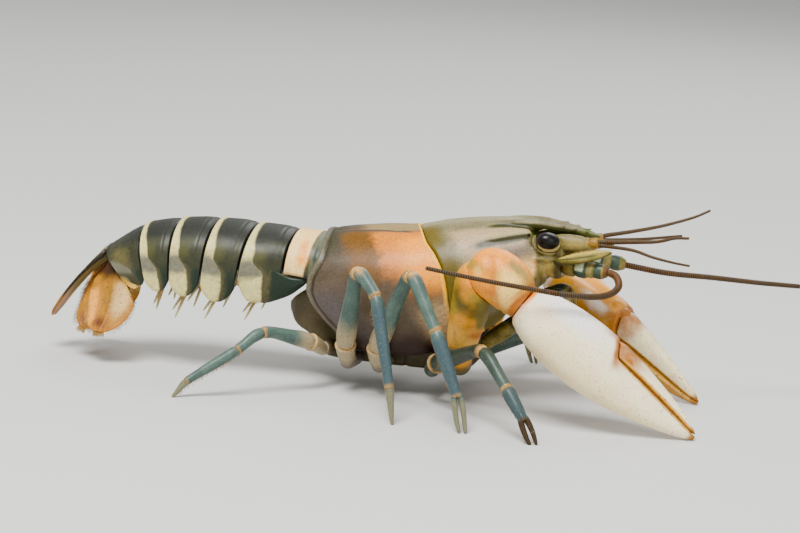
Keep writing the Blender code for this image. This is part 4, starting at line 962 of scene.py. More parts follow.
tail = {
    # each plane between rings: x and z of its top, its lean in degrees, its half width, depth of its arch
    "planes": [(1.2, 27.9, 2, 8.3, 6.8), (-6.3, 28.3, 5, 8.9, 6.4), (-14.4, 28.7, 8, 9.6, 8.0),
               (-22.0, 28.9, 5, 9.5, 8.0), (-29.6, 28.2, -2, 9.2, 7.8), (-36.6, 26.7, -13, 8.7, 7.2),
               (-44.2, 21.4, -42, 6.4, 4.6)],
    "swell": 0.15,
    # side flaps: depth, place along the ring, reach ahead and behind
    "flaps": [(0.5, 0.5, 0.6, 0.6), (2.0, 0.6, 0.6, 0.5), (6.2, 0.5, 0.56, 0.54), (5.6, 0.5, 0.56, 0.54),
              (4.7, 0.5, 0.56, 0.54), (3.4, 0.4, 0.5, 0.62)],
    # the large second flap: x, lower z, upper z, outer y
    "secondFlap": [(-15.75, 18.6, 20.6, 9.15), (-15.0, 16.5, 21.6, 9.35), (-13.2, 14.7, 22.0, 9.35),
                   (-10.4, 14.8, 22.2, 9.3), (-7.6, 15.7, 21.0, 9.15), (-5.2, 16.9, 20.2, 8.95),
                   (-3.5, 18.3, 20.1, 8.75), (-2.7, 19.0, 19.8, 8.6)],
    # white band: level down the side (1 where the arch ends), share of the ring's length where it begins
    "bandFront": [(0.0, 0.86), (0.3, 0.8), (0.55, 0.73), (0.78, 0.73), (0.93, 0.62), (1.12, 0.46),
                  (1.5, 0.38), (2.0, 0.44), (2.4, 0.52)],
    "frontDip": 0.28, "crease": 0.1, "rearLip": 0.12,
}


def tailFrame(k, t):
    # top, way down, half width and arch depth at a share of a ring's length
    x, z, lean, half, arch = np.array(tail["planes"][k]) * (1 - t) + np.array(tail["planes"][k + 1]) * t
    swell = tail["swell"] * math.sin(math.pi * t) if 0 < t < 1 else 0
    lean = math.radians(lean)
    return np.array([x, 0, z + swell]), np.array([-math.sin(lean), 0, -math.cos(lean)]), half, arch


def tailRing(k, t, inset, flap):
    # outline of a tail ring: the arch of the back, a flap each side, and the belly
    top, down, half, arch = tailFrame(k, t)
    half, depth = half - inset, arch - inset
    angles = np.radians([0, 9, 18, 27, 36, 45, 54, 63, 72, 81, 90])
    side = [(half * math.sin(a), inset + (depth - inset) * (1 - max(math.cos(a), 0) ** 0.9)) for a in angles]
    floor = arch + 1.3 - inset
    if flap:
        side += [(half * 1.0, depth + 0.5 + flap * 0.3), (half * 0.985, depth + 0.6 + flap * 0.68),
                 (half * 0.965, depth + 0.7 + flap * 0.93), (half * 0.93, depth + 0.7 + flap),
                 (half * 0.95 - 0.75, depth + 0.72 + flap * 0.92), (half - 1.3, depth + 0.6 + flap * 0.4),
                 (half - 1.8, floor + 0.2)]
    else:
        side += [(half, depth + 0.15), (half * 0.99, depth + 0.3), (half * 0.98, depth + 0.42),
                 (half * 0.97, depth + 0.5), (half * 0.95, depth + 0.6),
                 (half - 1.3, (depth + 0.8 + floor) / 2), (half - 2.2, floor + 0.1)]
    ring = np.array([top + down * d + np.array([0, y, 0]) for y, d in side])
    return bothHalves(ring, top + down * (floor + 0.7), 5)


def flapAt(k, t):
    depth, centre, ahead, behind = tail["flaps"][k]
    reach = (t - centre) / (ahead if t < centre else behind)
    return depth * max(0.0, 1 - abs(reach) ** 2.2) ** 0.5


def tailPlace(k, points):
    # share of the ring's length, and level down its side, of each point
    distances = []
    for t in (0.0, 1.0):
        top, down, _, _ = tailFrame(k, t)
        ahead = np.array([-down[2], 0, down[0]])
        distances.append((points - top) @ ahead)
    t = distances[0] / (distances[0] - distances[1])
    a, b = (np.array(plane)[:, None] for plane in tail["planes"][k:k + 2])
    x, z, _, _, arch = a + (b - a) * t
    lean = np.radians(a[2] + (b[2] - a[2]) * np.clip(t, 0, 1))
    return t, -((points[:, 0] - x) * np.sin(lean) + (points[:, 2] - z) * np.cos(lean)) / arch


def tailMasks(k, points):
    t, level = tailPlace(k, points)
    begin = curveAt(tail["bandFront"], level)
    band = fade(t, begin - 0.07, begin + 0.07) * fade(t, 0.98, 0.955)
    first, banded, last = k == 0, k not in (0, 5), k == 5
    slant = 0.1 * np.clip(level, 0, 1)
    return {
        "band": band * banded,
        "peachBand": fade(t, 0.34 + slant, 0.46 + slant) * fade(t, 0.99, 0.96) * first,
        "peachFront": hill(t, 0.6, 0.14) * hill(level, 0.5, 0.4) * first,
        "greenSpot": hill(t, 0.26, 0.12) * hill(level, 0.5, 0.24) * first,
        "membrane": fade(t, 0.44, 0.34) * first,
        "fringe": hill(t, begin - 0.04, 0.1) * fade(level, 0.6, 1.0) * 0.6 * banded,
        "shade": fade(level, 0.5, 0.16) * (1 - 0.3 * fade(t, 0.5, 1)),
        "teal": fade(level, 0.85, 1.3) * fade(t, begin - 0.02, begin - 0.25) * (k > 0),
        "olive": hill(level, 0.62, 0.22) * (1 - band) * fade(t, 0.3, 0.6),
        "blobGrey": band * hill(level, 0.97, 0.24) * 1.4 * (k > 0),
        "seam": fade(t, 0.965, 0.985) + fade(t, 0.1, 0.03) * (k > 0) * 0.8,
        "rust": hill(t, 0.62, 0.28) * hill(level, 0.75, 0.55) * last,
        "lowPale": fade(level, 1.2, 1.6) * fade(t, 0.6, 0.85) * last,
    }


def ringSkin(k):
    lead = 1.0 / np.linalg.norm(np.array(tail["planes"][k + 1][:2]) - np.array(tail["planes"][k][:2]))
    rows = [(-0.4 * lead if k else 0.0, 1.0, 0.0), (0.1 * lead, 1.0, 0.0), (0.3 * lead, 0.9, 0.0)]
    # the front of the ring dips a little, a crease crosses it, and the rear edge has a raised lip
    for t in np.linspace(0.36 * lead, 1.0, 42):
        dip = tail["frontDip"] * fade(t, 0.24, 0.05) + tail["crease"] * hill(t, 0.26, 0.03)
        lip = 0.25 * fade(t, 0.985, 1.0) - tail["rearLip"] * hill(t, 0.95, 0.03)
        rows.append((t, dip + lip, 1.0))
    if k < 5:
        rows += [(1.0, 0.55, 0.0), (1.0 - 0.8 * lead, 0.6, 0.0)]
    rings = []
    for t, inset, flapped in rows:
        flap = max(flapAt(k, t), 0.3) if flapped else 0.0
        rings.append(tailRing(k, t, inset, flap))
    grid = np.array(rings)
    patch = wrap(grid + lumps(grid, 4.0, k * 7.0)[..., None] * np.array([0, 0.05, 0.05]))
    patch["masks"] = tailMasks(k, patch["points"])
    return patch


def secondFlapSkin(side):
    rings, shares = [], np.linspace(0, 1, 70)
    keys = tail["secondFlap"]
    xs = np.array([k[0] for k in keys])
    for x in xs[0] + (xs[-1] - xs[0]) * (0.5 - 0.5 * np.cos(shares * math.pi)):
        low, high, out = curveAt(keys, x)
        profile = [(0, 0), (0.06, 0.3), (0.2, 0.42), (0.5, 0.5), (0.88, 0.35), (1, 0), (0.5, -0.2)]
        ring = [(x, side * (out - 0.95 + 0.5 * a + b), low + (high - low) * a) for a, b in profile]
        rings.append(softLoop(ring, 6))
    patch = wrap(np.array(rings))
    x = patch["points"][:, 0]
    patch["masks"] = {"band": fade(x, -10.2, -11.6), "fringe": hill(x, -10.0, 0.9) * 0.7,
                      "teal": fade(x, -10.2, -8.6)}
    return patch


def swimmeretSkin(k, side):
    top, down, half, arch = tailFrame(k, 0.55)
    root = top + down * (arch + 0.9) + np.array([0, side * half * 0.5, 0])
    knee = root + down * 3.6 + np.array([0.4, side * 0.5, 0])
    short = 0.7 if k == 4 else 1.0
    at = np.linspace(0, 1, 10)
    radii = np.stack([0.95 - 0.3 * at, 0.7 - 0.2 * at], -1) * roundEnds(at, 0.01, 0.2)[:, None]
    patches = [wrap(tubeGrid(root + (knee - root) * at[:, None], radii, 14, (1, 0, 0)), {"limb": 1})]
    blade = [(0, 0.42, 0.32), (0.25, 0.42, 0.22), (0.6, 0.3, 0.18), (0.88, 0.2, 0.14), (1, 0.08, 0.07)]
    for lean, outward, length in ((0.34, 0.15, 7.2 * short), (0.6, -0.05, 6.4 * short)):
        way = unit(down + np.array([-lean, side * outward, 0]))
        at = np.linspace(0, 1, 34)
        # fine cross rings, like the jointed blades of the real ones
        swell = curveAt(blade, at) * (1 + 0.05 * np.sin(at * length * 2 * math.pi / 0.7))[:, None]
        path = knee + way * (length * (at * 1.06 - 0.08))[:, None]
        patches.append(wrap(tubeGrid(path, swell, 14, (1, 0, 0)), {"limb": 1, "limbPale": fade(at, 0.3, 1)}))
    return patches


tailPaint = paintMaterial("tailPaint", {
    "base": (86, 84, 62), "base2": (68, 68, 52), "grain": 900, "pits": 0.4, "rough": (0.38, 0.54),
    "mottle": 0.4,
    "patches": [
        ("olive", (100, 94, 62), 0.6, 1.0, 500), ("shade", (60, 62, 55), 0.5, 1.0, 400),
        ("teal", (46, 62, 46), 0.5, 0.9, 450), ("rust", (124, 110, 76), 0.9, 0.9, 700),
        ("lowPale", (176, 160, 120), 0.5, 0.7, 500), ("membrane", (132, 132, 108), 0.5, 0.9, 500),
        ("greenSpot", (66, 82, 60), 0.5, 0.8, 500), ("peachBand", (230, 212, 188), 0.3, 0.7, 420),
        ("peachFront", (234, 192, 146), 0.6, 1.0, 420), ("band", (206, 198, 168), 0.5, 0.7, 700),
        ("fringe", (112, 98, 72), 1.4, 0.9, 1300), ("blobGrey", (146, 140, 122), 0.8, 1.0, 600),
        ("seam", (30, 30, 22), 0.1, 0.7, 600), ("limb", (188, 160, 122), 0.3, 0.5, 800),
        ("limbPale", (198, 188, 156), 0.5, 0.9, 800)],
    "specks": [("fringe", (126, 92, 58), 3000, 0.6), ("rust", (150, 108, 64), 2400, 0.45),
               ("shade", (112, 108, 84), 3600, 0.12), ("blobGrey", (110, 92, 62), 3000, 0.3)],
})


def buildTail():
    for k in range(6):
        patches = [ringSkin(k)]
        for side in (-1, 1):
            if 1 <= k <= 4:
                patches += swimmeretSkin(k, side)
            if k == 1:
                patches.append(secondFlapSkin(side))
        makePiece(f"tailRing_{k + 1}", patches, [f"pleon_{k + 1}"], tailPaint)
    print("tail rings made")


buildTail()


# Tail fan

fanLeaf = [(0, 1.35), (0.1, 2.8), (0.24, 4.5), (0.44, 5.1), (0.68, 4.7), (0.86, 3.7), (0.95, 2.5), (1.0, 1.0)]
fanSlim = [(s, h * 0.76) for s, h in fanLeaf]
fanPlate = [(0, 3.6), (0.12, 4.3), (0.35, 4.4), (0.6, 4.1), (0.82, 3.6), (0.94, 2.7), (1.0, 1.2)]
fanThin = [(0, 1.8), (0.2, 1.1), (1, 0.6)]
fan = {
    # root, tip, way of the width, widths, thickness, curl, sway, kind
    "telson": [(-44.4, 0, 20.0), (-54.9, 0, 6.7), (0, 1, 0),
               fanPlate, [(0, 1.9), (0.3, 1.1), (1, 0.7)], -0.6, 0.0, "middle"],
    "uropod_outer_right": [(-41.6, -4.3, 18.4), (-42.2, -10.4, 6.2), (1, -0.1, 0.2),
                           fanLeaf, fanThin, -0.8, 0.8, "outer"],
    "uropod_inner_right": [(-41.6, -2.0, 16.6), (-46.8, -6.6, 6.0), (1, -0.25, -0.15),
                           fanSlim, fanThin, -0.6, 0.0, "inner"],
    "uropod_outer_left": [(-41.6, 4.3, 18.4), (-48.4, 9.6, 6.0), (1, 0.2, -0.4),
                          fanLeaf, fanThin, 0.8, 0.0, "outer"],
    "uropod_inner_left": [(-41.6, 2.0, 16.6), (-49.2, 5.2, 6.8), (1, 0.25, -0.6),
                          fanSlim, fanThin, 0.6, 0.0, "inner"],
}
fanFringe = {"length": 1.3, "width": 0.035}


def tailEnd():
    top, down, _, _ = tailFrame(5, 1.0)
    return top, unit(np.array([down[2], 0, -down[0]]))


def makeHairs(name, hairs, width):
    # one mesh of bent three-sided hairs: root, way, length and own spot on the unwrap of each
    angle = np.array([0, 2.1, 4.2])
    quads = np.array([[0, 1, 4, 3], [1, 2, 5, 4], [2, 0, 3, 5]])
    tris = np.array([[3, 4, 6], [4, 5, 6], [5, 3, 6], [2, 1, 0]])
    offsets = 0.0015 * np.array([(0, 0), (1, 0), (2, 0), (0, 1), (1, 1), (2, 1), (1, 2)])
    patches, uvs = [], []
    for root, way, length, place in hairs:
        side, other = across(way, (0.3, 0.9, 0.2))
        ring = side * np.cos(angle)[:, None] + other * np.sin(angle)[:, None]
        bend = other * length * 0.12
        points = np.vstack([root + ring * width, root + way * length * 0.55 + bend * 0.3 + ring * width * 0.7,
                            [root + way * length + bend]])
        points[:, 2] = np.maximum(points[:, 2], 0.02)
        patches.append(turnOut({"points": points, "quads": quads, "tris": tris, "masks": {}}))
        uvs.append(place + offsets)
    mesh = meshOf(name, gather(patches))
    layer = mesh.uv_layers.new(name="OFBake")
    corners = np.empty(len(mesh.loops), np.int32)
    mesh.loops.foreach_get("vertex_index", corners)
    layer.data.foreach_set("uv", np.vstack(uvs)[corners].astype(np.float32).reshape(-1))
    mesh.materials.append(hairPaint)
    obj = addObject(name, mesh)
    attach(obj, "root")


hairPaint = paintMaterial("hairPaint", {
    "base": (206, 176, 132), "base2": (178, 144, 100), "grain": 900, "rough": (0.45, 0.6), "coat": 0.0,
    "bump": 0.1,
})
fanPaint = paintMaterial("fanPaint", {
    "base": (200, 150, 92), "base2": (182, 128, 72), "grain": 1000, "pits": 0.3, "rough": (0.36, 0.5),
    "glow": 0.1,
    "patches": [
        ("lobe", (214, 176, 130), 0.5, 0.9, 400), ("umber", (180, 130, 76), 0.9, 1.0, 420),
        ("brown", (92, 54, 26), 1.0, 0.9, 500), ("pale", (206, 186, 156), 0.7, 1.0, 420),
        ("cream", (214, 198, 156), 0.3, 0.8, 500), ("amber", (146, 72, 12), 0.9, 1.0, 420),
        ("slate", (172, 152, 112), 0.6, 0.9, 400), ("edgeOrange", (190, 128, 62), 0.7, 0.9, 500),
        ("rimDark", (52, 46, 30), 0.4, 0.9, 500), ("ribDark", (140, 88, 44), 0.3, 0.9, 500),
        ("creamLobe", (222, 204, 160), 0.1, 0.5, 500)],
    "specks": [(None, (120, 64, 26), 2300, 0.3), ("slate", (150, 122, 76), 2600, 0.2),
               ("creamLobe", (180, 84, 40), 1500, 0.3)],
})


def bladeRings(root, tip, widthWay, widths, thicknesses, curl, sway, shares, ribs):
    # a thin plate from root to tip, crowned on both faces, with low ribs along it; it also gives
    # the place across the plate of each point of a ring, and the plate's ways and centre line
    root, tip = np.array(root, float), np.array(tip, float)
    length = np.linalg.norm(tip - root)
    axis = (tip - root) / length
    wide, face = across(axis, widthWay)
    a = np.linspace(-1, 1, 61)
    crown = np.sqrt(np.clip(1 - np.abs(a) ** 6, 0, 1)) * 0.85
    ridge = sum(height * hill(a, place, broad) for place, broad, height in ribs)

    def centreAt(share):
        return root + axis * length * share + (face * curl + wide * sway) * share * (1 - share) * 4

    grid = []
    for share in shares:
        half = float(curveAt(widths, share))
        thick = float(curveAt(thicknesses, share)) / 2
        row = centreAt(share) + wide * (half * a)[:, None]
        front = row + face * (thick * (crown + ridge * (1 - 0.6 * share)))[:, None]
        rear = row - face * (thick * crown)[:, None]
        grid.append(np.vstack([front, rear[1:-1][::-1]]))
    return np.array(grid), andBack(a), axis, wide, face, centreAt


def buildFan():
    hairs = []
    for tile, (name, (root, tip, way, widths, thick, curl, sway, kind)) in enumerate(fan.items()):
        shares = np.concatenate([np.linspace(0, 0.95, 66), [0.96, 0.97, 0.98, 0.988, 0.994, 1.0]])
        apart, high = (0.3, 0.25) if kind == "middle" else (0.45, 0.3)
        ribs = [(0, 0.06, 0.55), (-apart, 0.05, high), (apart, 0.05, high)]
        grid, v, axis, wide, face, centreAt = bladeRings(root, tip, way, widths, thick, curl, sway,
                                                         shares, ribs)
        place, normal = tailEnd()
        grid[0] = grid[0] + axis * ((gap * 0.4 - (grid[0] - place) @ normal) / (axis @ normal))[:, None]
        for n in range(1, len(grid)):
            lift = np.maximum(0, gap * 0.4 + 0.01 * n - (grid[n] - place) @ normal)
            grid[n] = grid[n] + normal * lift[:, None]
        # painted by the place along the blade, u, and across it, v
        u = shares[:, None]
        edge = np.maximum(fade(u, 0.8, 0.98), fade(np.abs(v), 0.72, 0.98) * fade(u, 0.3, 0.7))
        masks = {
            "edgeOrange": np.maximum(edge * 0.7, fade(u, 0.6, 0.8) * (kind == "middle")),
            "pale": hill(v, 0.45, 0.34) * hill(u, 0.5, 0.26) * 1.3 * (kind == "outer"),
            "cream": fade(v, 0.6, 0.95) * hill(u, 0.2, 0.16) * (kind == "outer"),
            "lobe": fade(v, -0.3, -0.75) * fade(u, 0.25, 0.5) * (kind == "outer"),
            "brown": hill(u, 0.05, 0.16),
            "umber": hill(v, -0.12, 0.4) * hill(u, 0.4, 0.35) * 0.7 * (kind != "middle"),
            "amber": (0.25 * fade(u, 0.62, 0.84) if kind == "middle"
                      else hill(v, -0.2, 0.5) * hill(u, 0.93, 0.2) * 1.2),
            "slate": fade(u, 0.85, 0.45) * (kind == "middle"),
            "ribDark": hill(v, -0.1, 0.03) * 0.4 * fade(u, 0.2, 0.4),
            "rimDark": fade(np.abs(v), 0.86, 0.97) * fade(u, 0.8, 0.6) * (kind == "middle"),
        }
        patches = [wrap(grid, masks)]
        if kind == "outer":
            # the small cream lobe at the fan's outer corner
            side = 1 if root[1] > 0 else -1
            lobeTip = (-36.2, -6.6, 14.9) if side < 0 else (-38.0, 8.0, 14.6)
            lobe = bladeRings((-40.4, side * 5.2, 17.2), lobeTip, (0.4, 0, -1),
                              [(0, 0.7), (0.3, 1.3), (0.7, 1.15), (0.92, 0.7), (1, 0.2)],
                              [(0, 0.8), (1, 0.5)], 0.2, 0.0, np.linspace(0, 1, 30), [(0, 0.2, 0.2)])[0]
            patches.append(wrap(lobe, {"creamLobe": 1}))
        makePiece(f"{name}_skin", patches, [name], fanPaint)
        # fringe along the rear rim
        rim = [(share, sign * 0.99) for share in np.arange(0.55, 0.99, 0.012) for sign in (-1, 1)]
        rim += [(0.995, place) for place in np.arange(-0.97, 0.98, 0.035)]
        for share, side in rim:
            point = centreAt(share) + wide * curveAt(widths, share) * side * 0.985
            outward = unit(axis * (0.35 + share ** 3) + wide * side * (1.15 - 0.9 * (share > 0.99)))
            for _ in range(3):
                spread = draw.normal(0, 0.1, 3)
                foot = point + axis * draw.uniform(-0.08, 0.08) + face * draw.uniform(-0.1, 0.1)
                long = fanFringe["length"] * draw.uniform(0.6, 1.05) * (0.45 + 0.55 * share)
                hairs.append((foot, unit(outward + spread), long * (0.2 if kind == "middle" else 1.0),
                              (0.1 + 0.18 * tile + 0.07 * side, 0.1 + 0.8 * share)))
    makeHairs("fanFringe", hairs, fanFringe["width"])
    print("tail fan made")


buildFan()


# Feelers, with fine rings all along them

feelers = {
    "ringPitch": 0.44, "ringDepth": 0.09,
    "antenna_right_curl": [[(54.6, -7.1, 27.0), (56.0, -8.0, 26.6), (57.0, -10.5, 25.5), (56.7, -14.0, 24.8),
                            (55.3, -17.0, 24.4), (52.8, -20.0, 24.5), (47.9, -23.5, 25.1)], 0.7, 0.5],
    "antenna_right_back": [[(47.9, -23.5, 25.1), (44.2, -25.5, 25.8), (37.6, -28.5, 26.9),
                            (32.3, -30.5, 27.8), (25.2, -32.5, 29.0)], 0.5, 0.38],
    "antenna_left_near": [[(55.3, 6.9, 26.42), (63.3, 10.0, 25.1), (71.7, 14.0, 24.4), (80.2, 18.0, 23.6),
                           (87.7, 22.0, 23.0)], 0.62, 0.46],
    "antenna_left_far": [[(87.7, 22.0, 23.0), (97.0, 27.6, 22.0), (106.0, 34.2, 20.6), (114.0, 41.8, 18.8),
                          (120.0, 49.6, 16.6)], 0.46, 0.24],
}
whips = {
    "right": [([(51.9, -3.1, 31.8), (57.9, -4, 32.6), (62.7, -5, 33.3), (66, -6, 34.4), (68.8, -7, 34.8)],
               0.55, 0.26),
              ([(51.9, -3.4, 31.3), (58.1, -5, 31.3), (62.2, -7, 30.7), (66.2, -9, 30.4), (69.7, -11, 30.4)],
               0.42, 0.22)],
    "left": [([(51.6, 3.1, 32.1), (56.7, 4, 33.3), (62.2, 5.5, 34.7), (67.6, 7.5, 36.5), (70.7, 9, 38)],
              0.48, 0.24),
             ([(51.6, 3.2, 31.3), (58.6, 5, 31.9), (65.9, 8, 32.8)], 0.42, 0.24)],
}


def ringedWhip(corners, thick, thin, sides=12):
    coarse = smoothPath(corners, 200)
    length = np.linalg.norm(np.diff(coarse, axis=0), axis=1).sum()
    count = int(length / feelers["ringPitch"]) * 6 + 1
    path = smoothPath(corners, count)
    share = np.linspace(0, 1, count)
    wave = np.cos(share * length / feelers["ringPitch"] * 2 * math.pi)
    radius = (thick + (thin - thick) * share ** 0.8) * (1 + feelers["ringDepth"] * wave)
    radius = radius * roundEnds(share, 0.0005, 0.012)
    stem = fade(share * length, 7.0, 2.0) * (thick > 0.65)
    return wrap(tubeGrid(path, radius, sides), {"ring": 0.5 - 0.5 * wave, "whipEnd": share, "stem": stem})


feelerPaint = paintMaterial("feelerPaint", {
    "base": (144, 90, 58), "base2": (122, 74, 48), "grain": 1500, "rough": (0.42, 0.56), "coat": 0.0,
    "patches": [("whipEnd", (120, 84, 58), 0.2, 1.0, 500), ("ring", (24, 14, 10), 0.0, 0.35, 900),
                ("stem", (128, 80, 58), 0.3, 0.8, 600)],
})


def buildFeelers():
    for name in ("antenna_right_curl", "antenna_left_near", "antenna_right_back", "antenna_left_far"):
        makePiece(f"{name}_skin", [ringedWhip(*feelers[name])], [name], feelerPaint)
    print("feelers made")


buildFeelers()


# Small feelers, the long feelers' bases with their scales, and the mouth limbs

faceLimbs = {
    "antennuleRoot": (45.8, 2.4, 30.1), "antennuleTip": (51.7, 3.1, 31.7),
    "antennuleForm": [(0, 1.45), (0.18, 1.55), (0.36, 1.5), (0.43, 1.34), (0.46, 1.24), (0.5, 1.3),
                      (0.66, 1.34), (0.73, 1.16), (0.76, 1.08), (0.8, 1.12), (0.95, 1.04), (1.0, 0.85)],
    "baseRoot": (45.8, 4.3, 27.3), "baseMiddle": (49.8, 6.2, 27.1),
    "baseEnds": {"right": (54.3, -7.0, 27.0), "left": (55.7, 7.0, 26.4)},
    "baseForm": [(0, 1.65), (0.12, 1.95), (0.24, 1.95), (0.3, 1.65), (0.34, 1.56), (0.4, 1.74), (0.52, 1.76),
                 (0.58, 1.52), (0.62, 1.44), (0.66, 1.52), (0.7, 1.42), (0.74, 1.34), (0.8, 1.46), (0.9, 1.4),
                 (0.95, 1.16), (1.0, 0.95)],
    "scaleRoot": (44.3, 7.0, 27.9), "scaleTip": (54.9, 7.9, 30.9),
    "scaleWidths": [(0, 0.5), (0.15, 0.95), (0.4, 1.4), (0.65, 1.35), (0.85, 0.85), (0.95, 0.42), (1.0, 0.1)],
    "jawLimb": [(31.3, 2.5, 10.2), (37.0, 3.2, 14.6), (42.8, 3.3, 21.2), (46.4, 2.7, 21.4),
                (47.6, 2.0, 18.4)],
    "jawRadii": [(0, 1.25, 1.4), (0.3, 1.4, 1.6), (0.85, 1.5, 1.75), (0.97, 1.2, 1.3), (1.06, 1.15, 1.25),
                 (1.5, 1.3, 1.45), (1.9, 1.2, 1.2), (1.99, 0.85, 0.85), (2.1, 0.9, 0.95), (2.5, 1.05, 1.05),
                 (2.92, 0.9, 0.9), (2.99, 0.68, 0.68), (3.1, 0.72, 0.72), (3.5, 0.6, 0.6), (4.0, 0.1, 0.1)],
    "hairWidth": 0.04,
}
limbPaint = paintMaterial("limbPaint", {
    "base": (176, 156, 98), "base2": (140, 120, 66), "grain": 1500, "rough": (0.38, 0.52), "mottle": 0.5,
    "patches": [
        ("stemPale", (196, 176, 126), 0.6, 0.9, 700), ("stemRust", (176, 132, 78), 0.9, 0.8, 700),
        ("teal", (84, 106, 86), 0.4, 0.8, 500), ("white", (200, 206, 192), 0.2, 0.7, 600),
        ("sand", (176, 160, 112), 0.3, 0.8, 600),
        ("brown", (112, 84, 44), 0.6, 0.9, 600), ("scalePale", (196, 178, 118), 0.4, 0.9, 500),
        ("scaleDark", (96, 86, 40), 0.4, 0.9, 500), ("whip", (126, 86, 58), 0.1, 0.5, 500),
        ("ring", (44, 26, 18), 0.0, 0.4, 900), ("jawBlue", (80, 96, 84), 0.5, 0.9, 500),
        ("rust", (142, 92, 66), 0.3, 0.8, 500)],
    "specks": [(None, (104, 84, 42), 3400, 0.3)],
})


def antennuleSkin(side, word):
    root = mirrored(faceLimbs["antennuleRoot"], side)
    tip = mirrored(faceLimbs["antennuleTip"], side)
    share = np.linspace(0, 1, 60)
    radii = curveAt(faceLimbs["antennuleForm"], share)
    stem = tubeGrid(root + (tip - root) * share[:, None], radii, 32, firstNormal=(1, 0, 0))
    patches = [wrap(stem, {"brown": (hill(share, 0.46, 0.03) + hill(share, 0.76, 0.03)) * 0.7,
                           "stemPale": fade(share, 0.9, 0.5), "stemRust": fade(share, 0.55, 0.8)})]
    for corners, thick, thin in whips[word]:
        whip = ringedWhip([tip - (1.0, 0, 0.4)] + corners, thick, thin, 8)
        whip["masks"]["whip"] = np.ones(len(whip["points"]))
        whip["masks"]["ring"] = whip["masks"]["ring"] * 0.8
        patches.append(whip)
    makePiece(f"antennuleSkin_{word}", patches, [f"antennule_{word}"], limbPaint)


def baseSkin(side, word):
    root = mirrored(faceLimbs["baseRoot"], side)
    middle = mirrored(faceLimbs["baseMiddle"], side)
    path = smoothPath([root, middle, faceLimbs["baseEnds"][word]], 80)
    share = np.linspace(0, 1, 80)
    grid = tubeGrid(path, curveAt(faceLimbs["baseForm"], share), 40, firstNormal=(1, 0, 0))
    up = (grid[..., 2] - path[:, None, 2]) / 1.5
    u = share[:, None]
    masks = {"teal": span(u, 0.31, 0.35, 0.57, 0.6) + span(u, 0.71, 0.75, 0.86, 0.93),
             "white": span(u, 0.34, 0.39, 0.5, 0.57) * fade(up, -0.45, 0.1),
             "sand": span(u, 0.58, 0.61, 0.68, 0.71),
             "brown": hill(u, 0.34, 0.02) * 0.6 + hill(u, 0.06, 0.1) * fade(up, 0.4, -0.2),
             "rust": fade(u, 0.9, 0.97) * (1 if side < 0 else 0.4)}
    patches = [wrap(grid, masks)]
    # the scale: a leaf with a stout outer rib and a thin inner web
    start = mirrored(faceLimbs["scaleRoot"], side)
    tip = mirrored(faceLimbs["scaleTip"], side)
    shares = np.linspace(0, 1, 50)
    ribs = [(-0.75, 0.14, 1.0), (-0.2, 0.08, 0.25)] if side < 0 else [(0.75, 0.14, 1.0), (0.2, 0.08, 0.25)]
    leaf, lower, axis, wide, _, centreAt = bladeRings(start, tip, (0.1, -side * 0.8, 0.6),
                                                      faceLimbs["scaleWidths"], [(0, 1.0), (1, 0.45)],
                                                      0.0, 0.0, shares, ribs)
    lower = lower[None] * (1 if wide[2] < 0 else -1)
    dark = (hill(lower, 0.2, 0.22) * fade(shares, 0.85, 0.6)[:, None] + fade(lower, 0.85, 0.97) * 0.6
            + hill(shares, 0.03, 0.08)[:, None])
    patches.append(wrap(leaf, {"scalePale": fade(-lower, 0.1, 0.5), "scaleDark": dark}))
    makePiece(f"antennaBase_{word}", patches, [f"antenna_{word}_base"], limbPaint)
    return centreAt, axis, wide


def jawLimbSkin(side, word):
    corners = [mirrored(c, side) for c in faceLimbs["jawLimb"]]
    path, at = bentPath(corners, (2.5, 2.5, 1.5), 0.2)
    grid = tubeGrid(path, curveAt(faceLimbs["jawRadii"], at), 28, (0, 0, 1), firstNormal=(1, 0, 0))
    masks = {"jawBlue": hill(at, 1.5, 0.45) + hill(at, 2.5, 0.3),
             "brown": hill(at, 1.0, 0.08) + hill(at, 2.0, 0.08) + hill(at, 3.0, 0.1)}
    makePiece(f"jawLimb_{word}", [wrap(grid, masks)], [f"maxilliped_{word}"], limbPaint)
    return path, at


def buildFaceLimbs():
    hairs = []
    for tile, (side, word) in enumerate(bothSides):
        antennuleSkin(side, word)
        centreAt, axis, wide = baseSkin(side, word)
        path, at = jawLimbSkin(side, word)
        # hairs on the scale's inner edge
        inner = 1 if wide[1] * side < 0 else -1
        for share in np.arange(0.2, 0.97, 0.012):
            half = curveAt(faceLimbs["scaleWidths"], share)
            way = unit(wide * inner + axis * 0.8 + draw.normal(0, 0.1, 3))
            hairs.append((centreAt(share) + wide * half * inner * 0.97, way,
                          draw.uniform(0.5, 0.9), (0.1 + 0.4 * tile, 0.1 + 0.8 * share)))
        # beard of the mouth limbs
        for i in range(2, len(path) - 1):
            if at[i] < 0.3:
                continue
            for _ in range(3):
                down = unit(np.array([draw.normal(0, 0.3), -side * 0.7 + draw.normal(0, 0.3), -1.0]))
                radius = float(curveAt(faceLimbs["jawRadii"], at[i])[0])
                hairs.append((path[i] + down * radius * 0.85, down, draw.uniform(0.5, 1.1),
                              (0.3 + 0.4 * tile, 0.1 + 0.8 * at[i] / 4)))
    makeHairs("faceHairs", hairs, faceLimbs["hairWidth"])
    print("face limbs made")


buildFaceLimbs()


# Walking legs, each a chain of shell tubes with soft joints between them

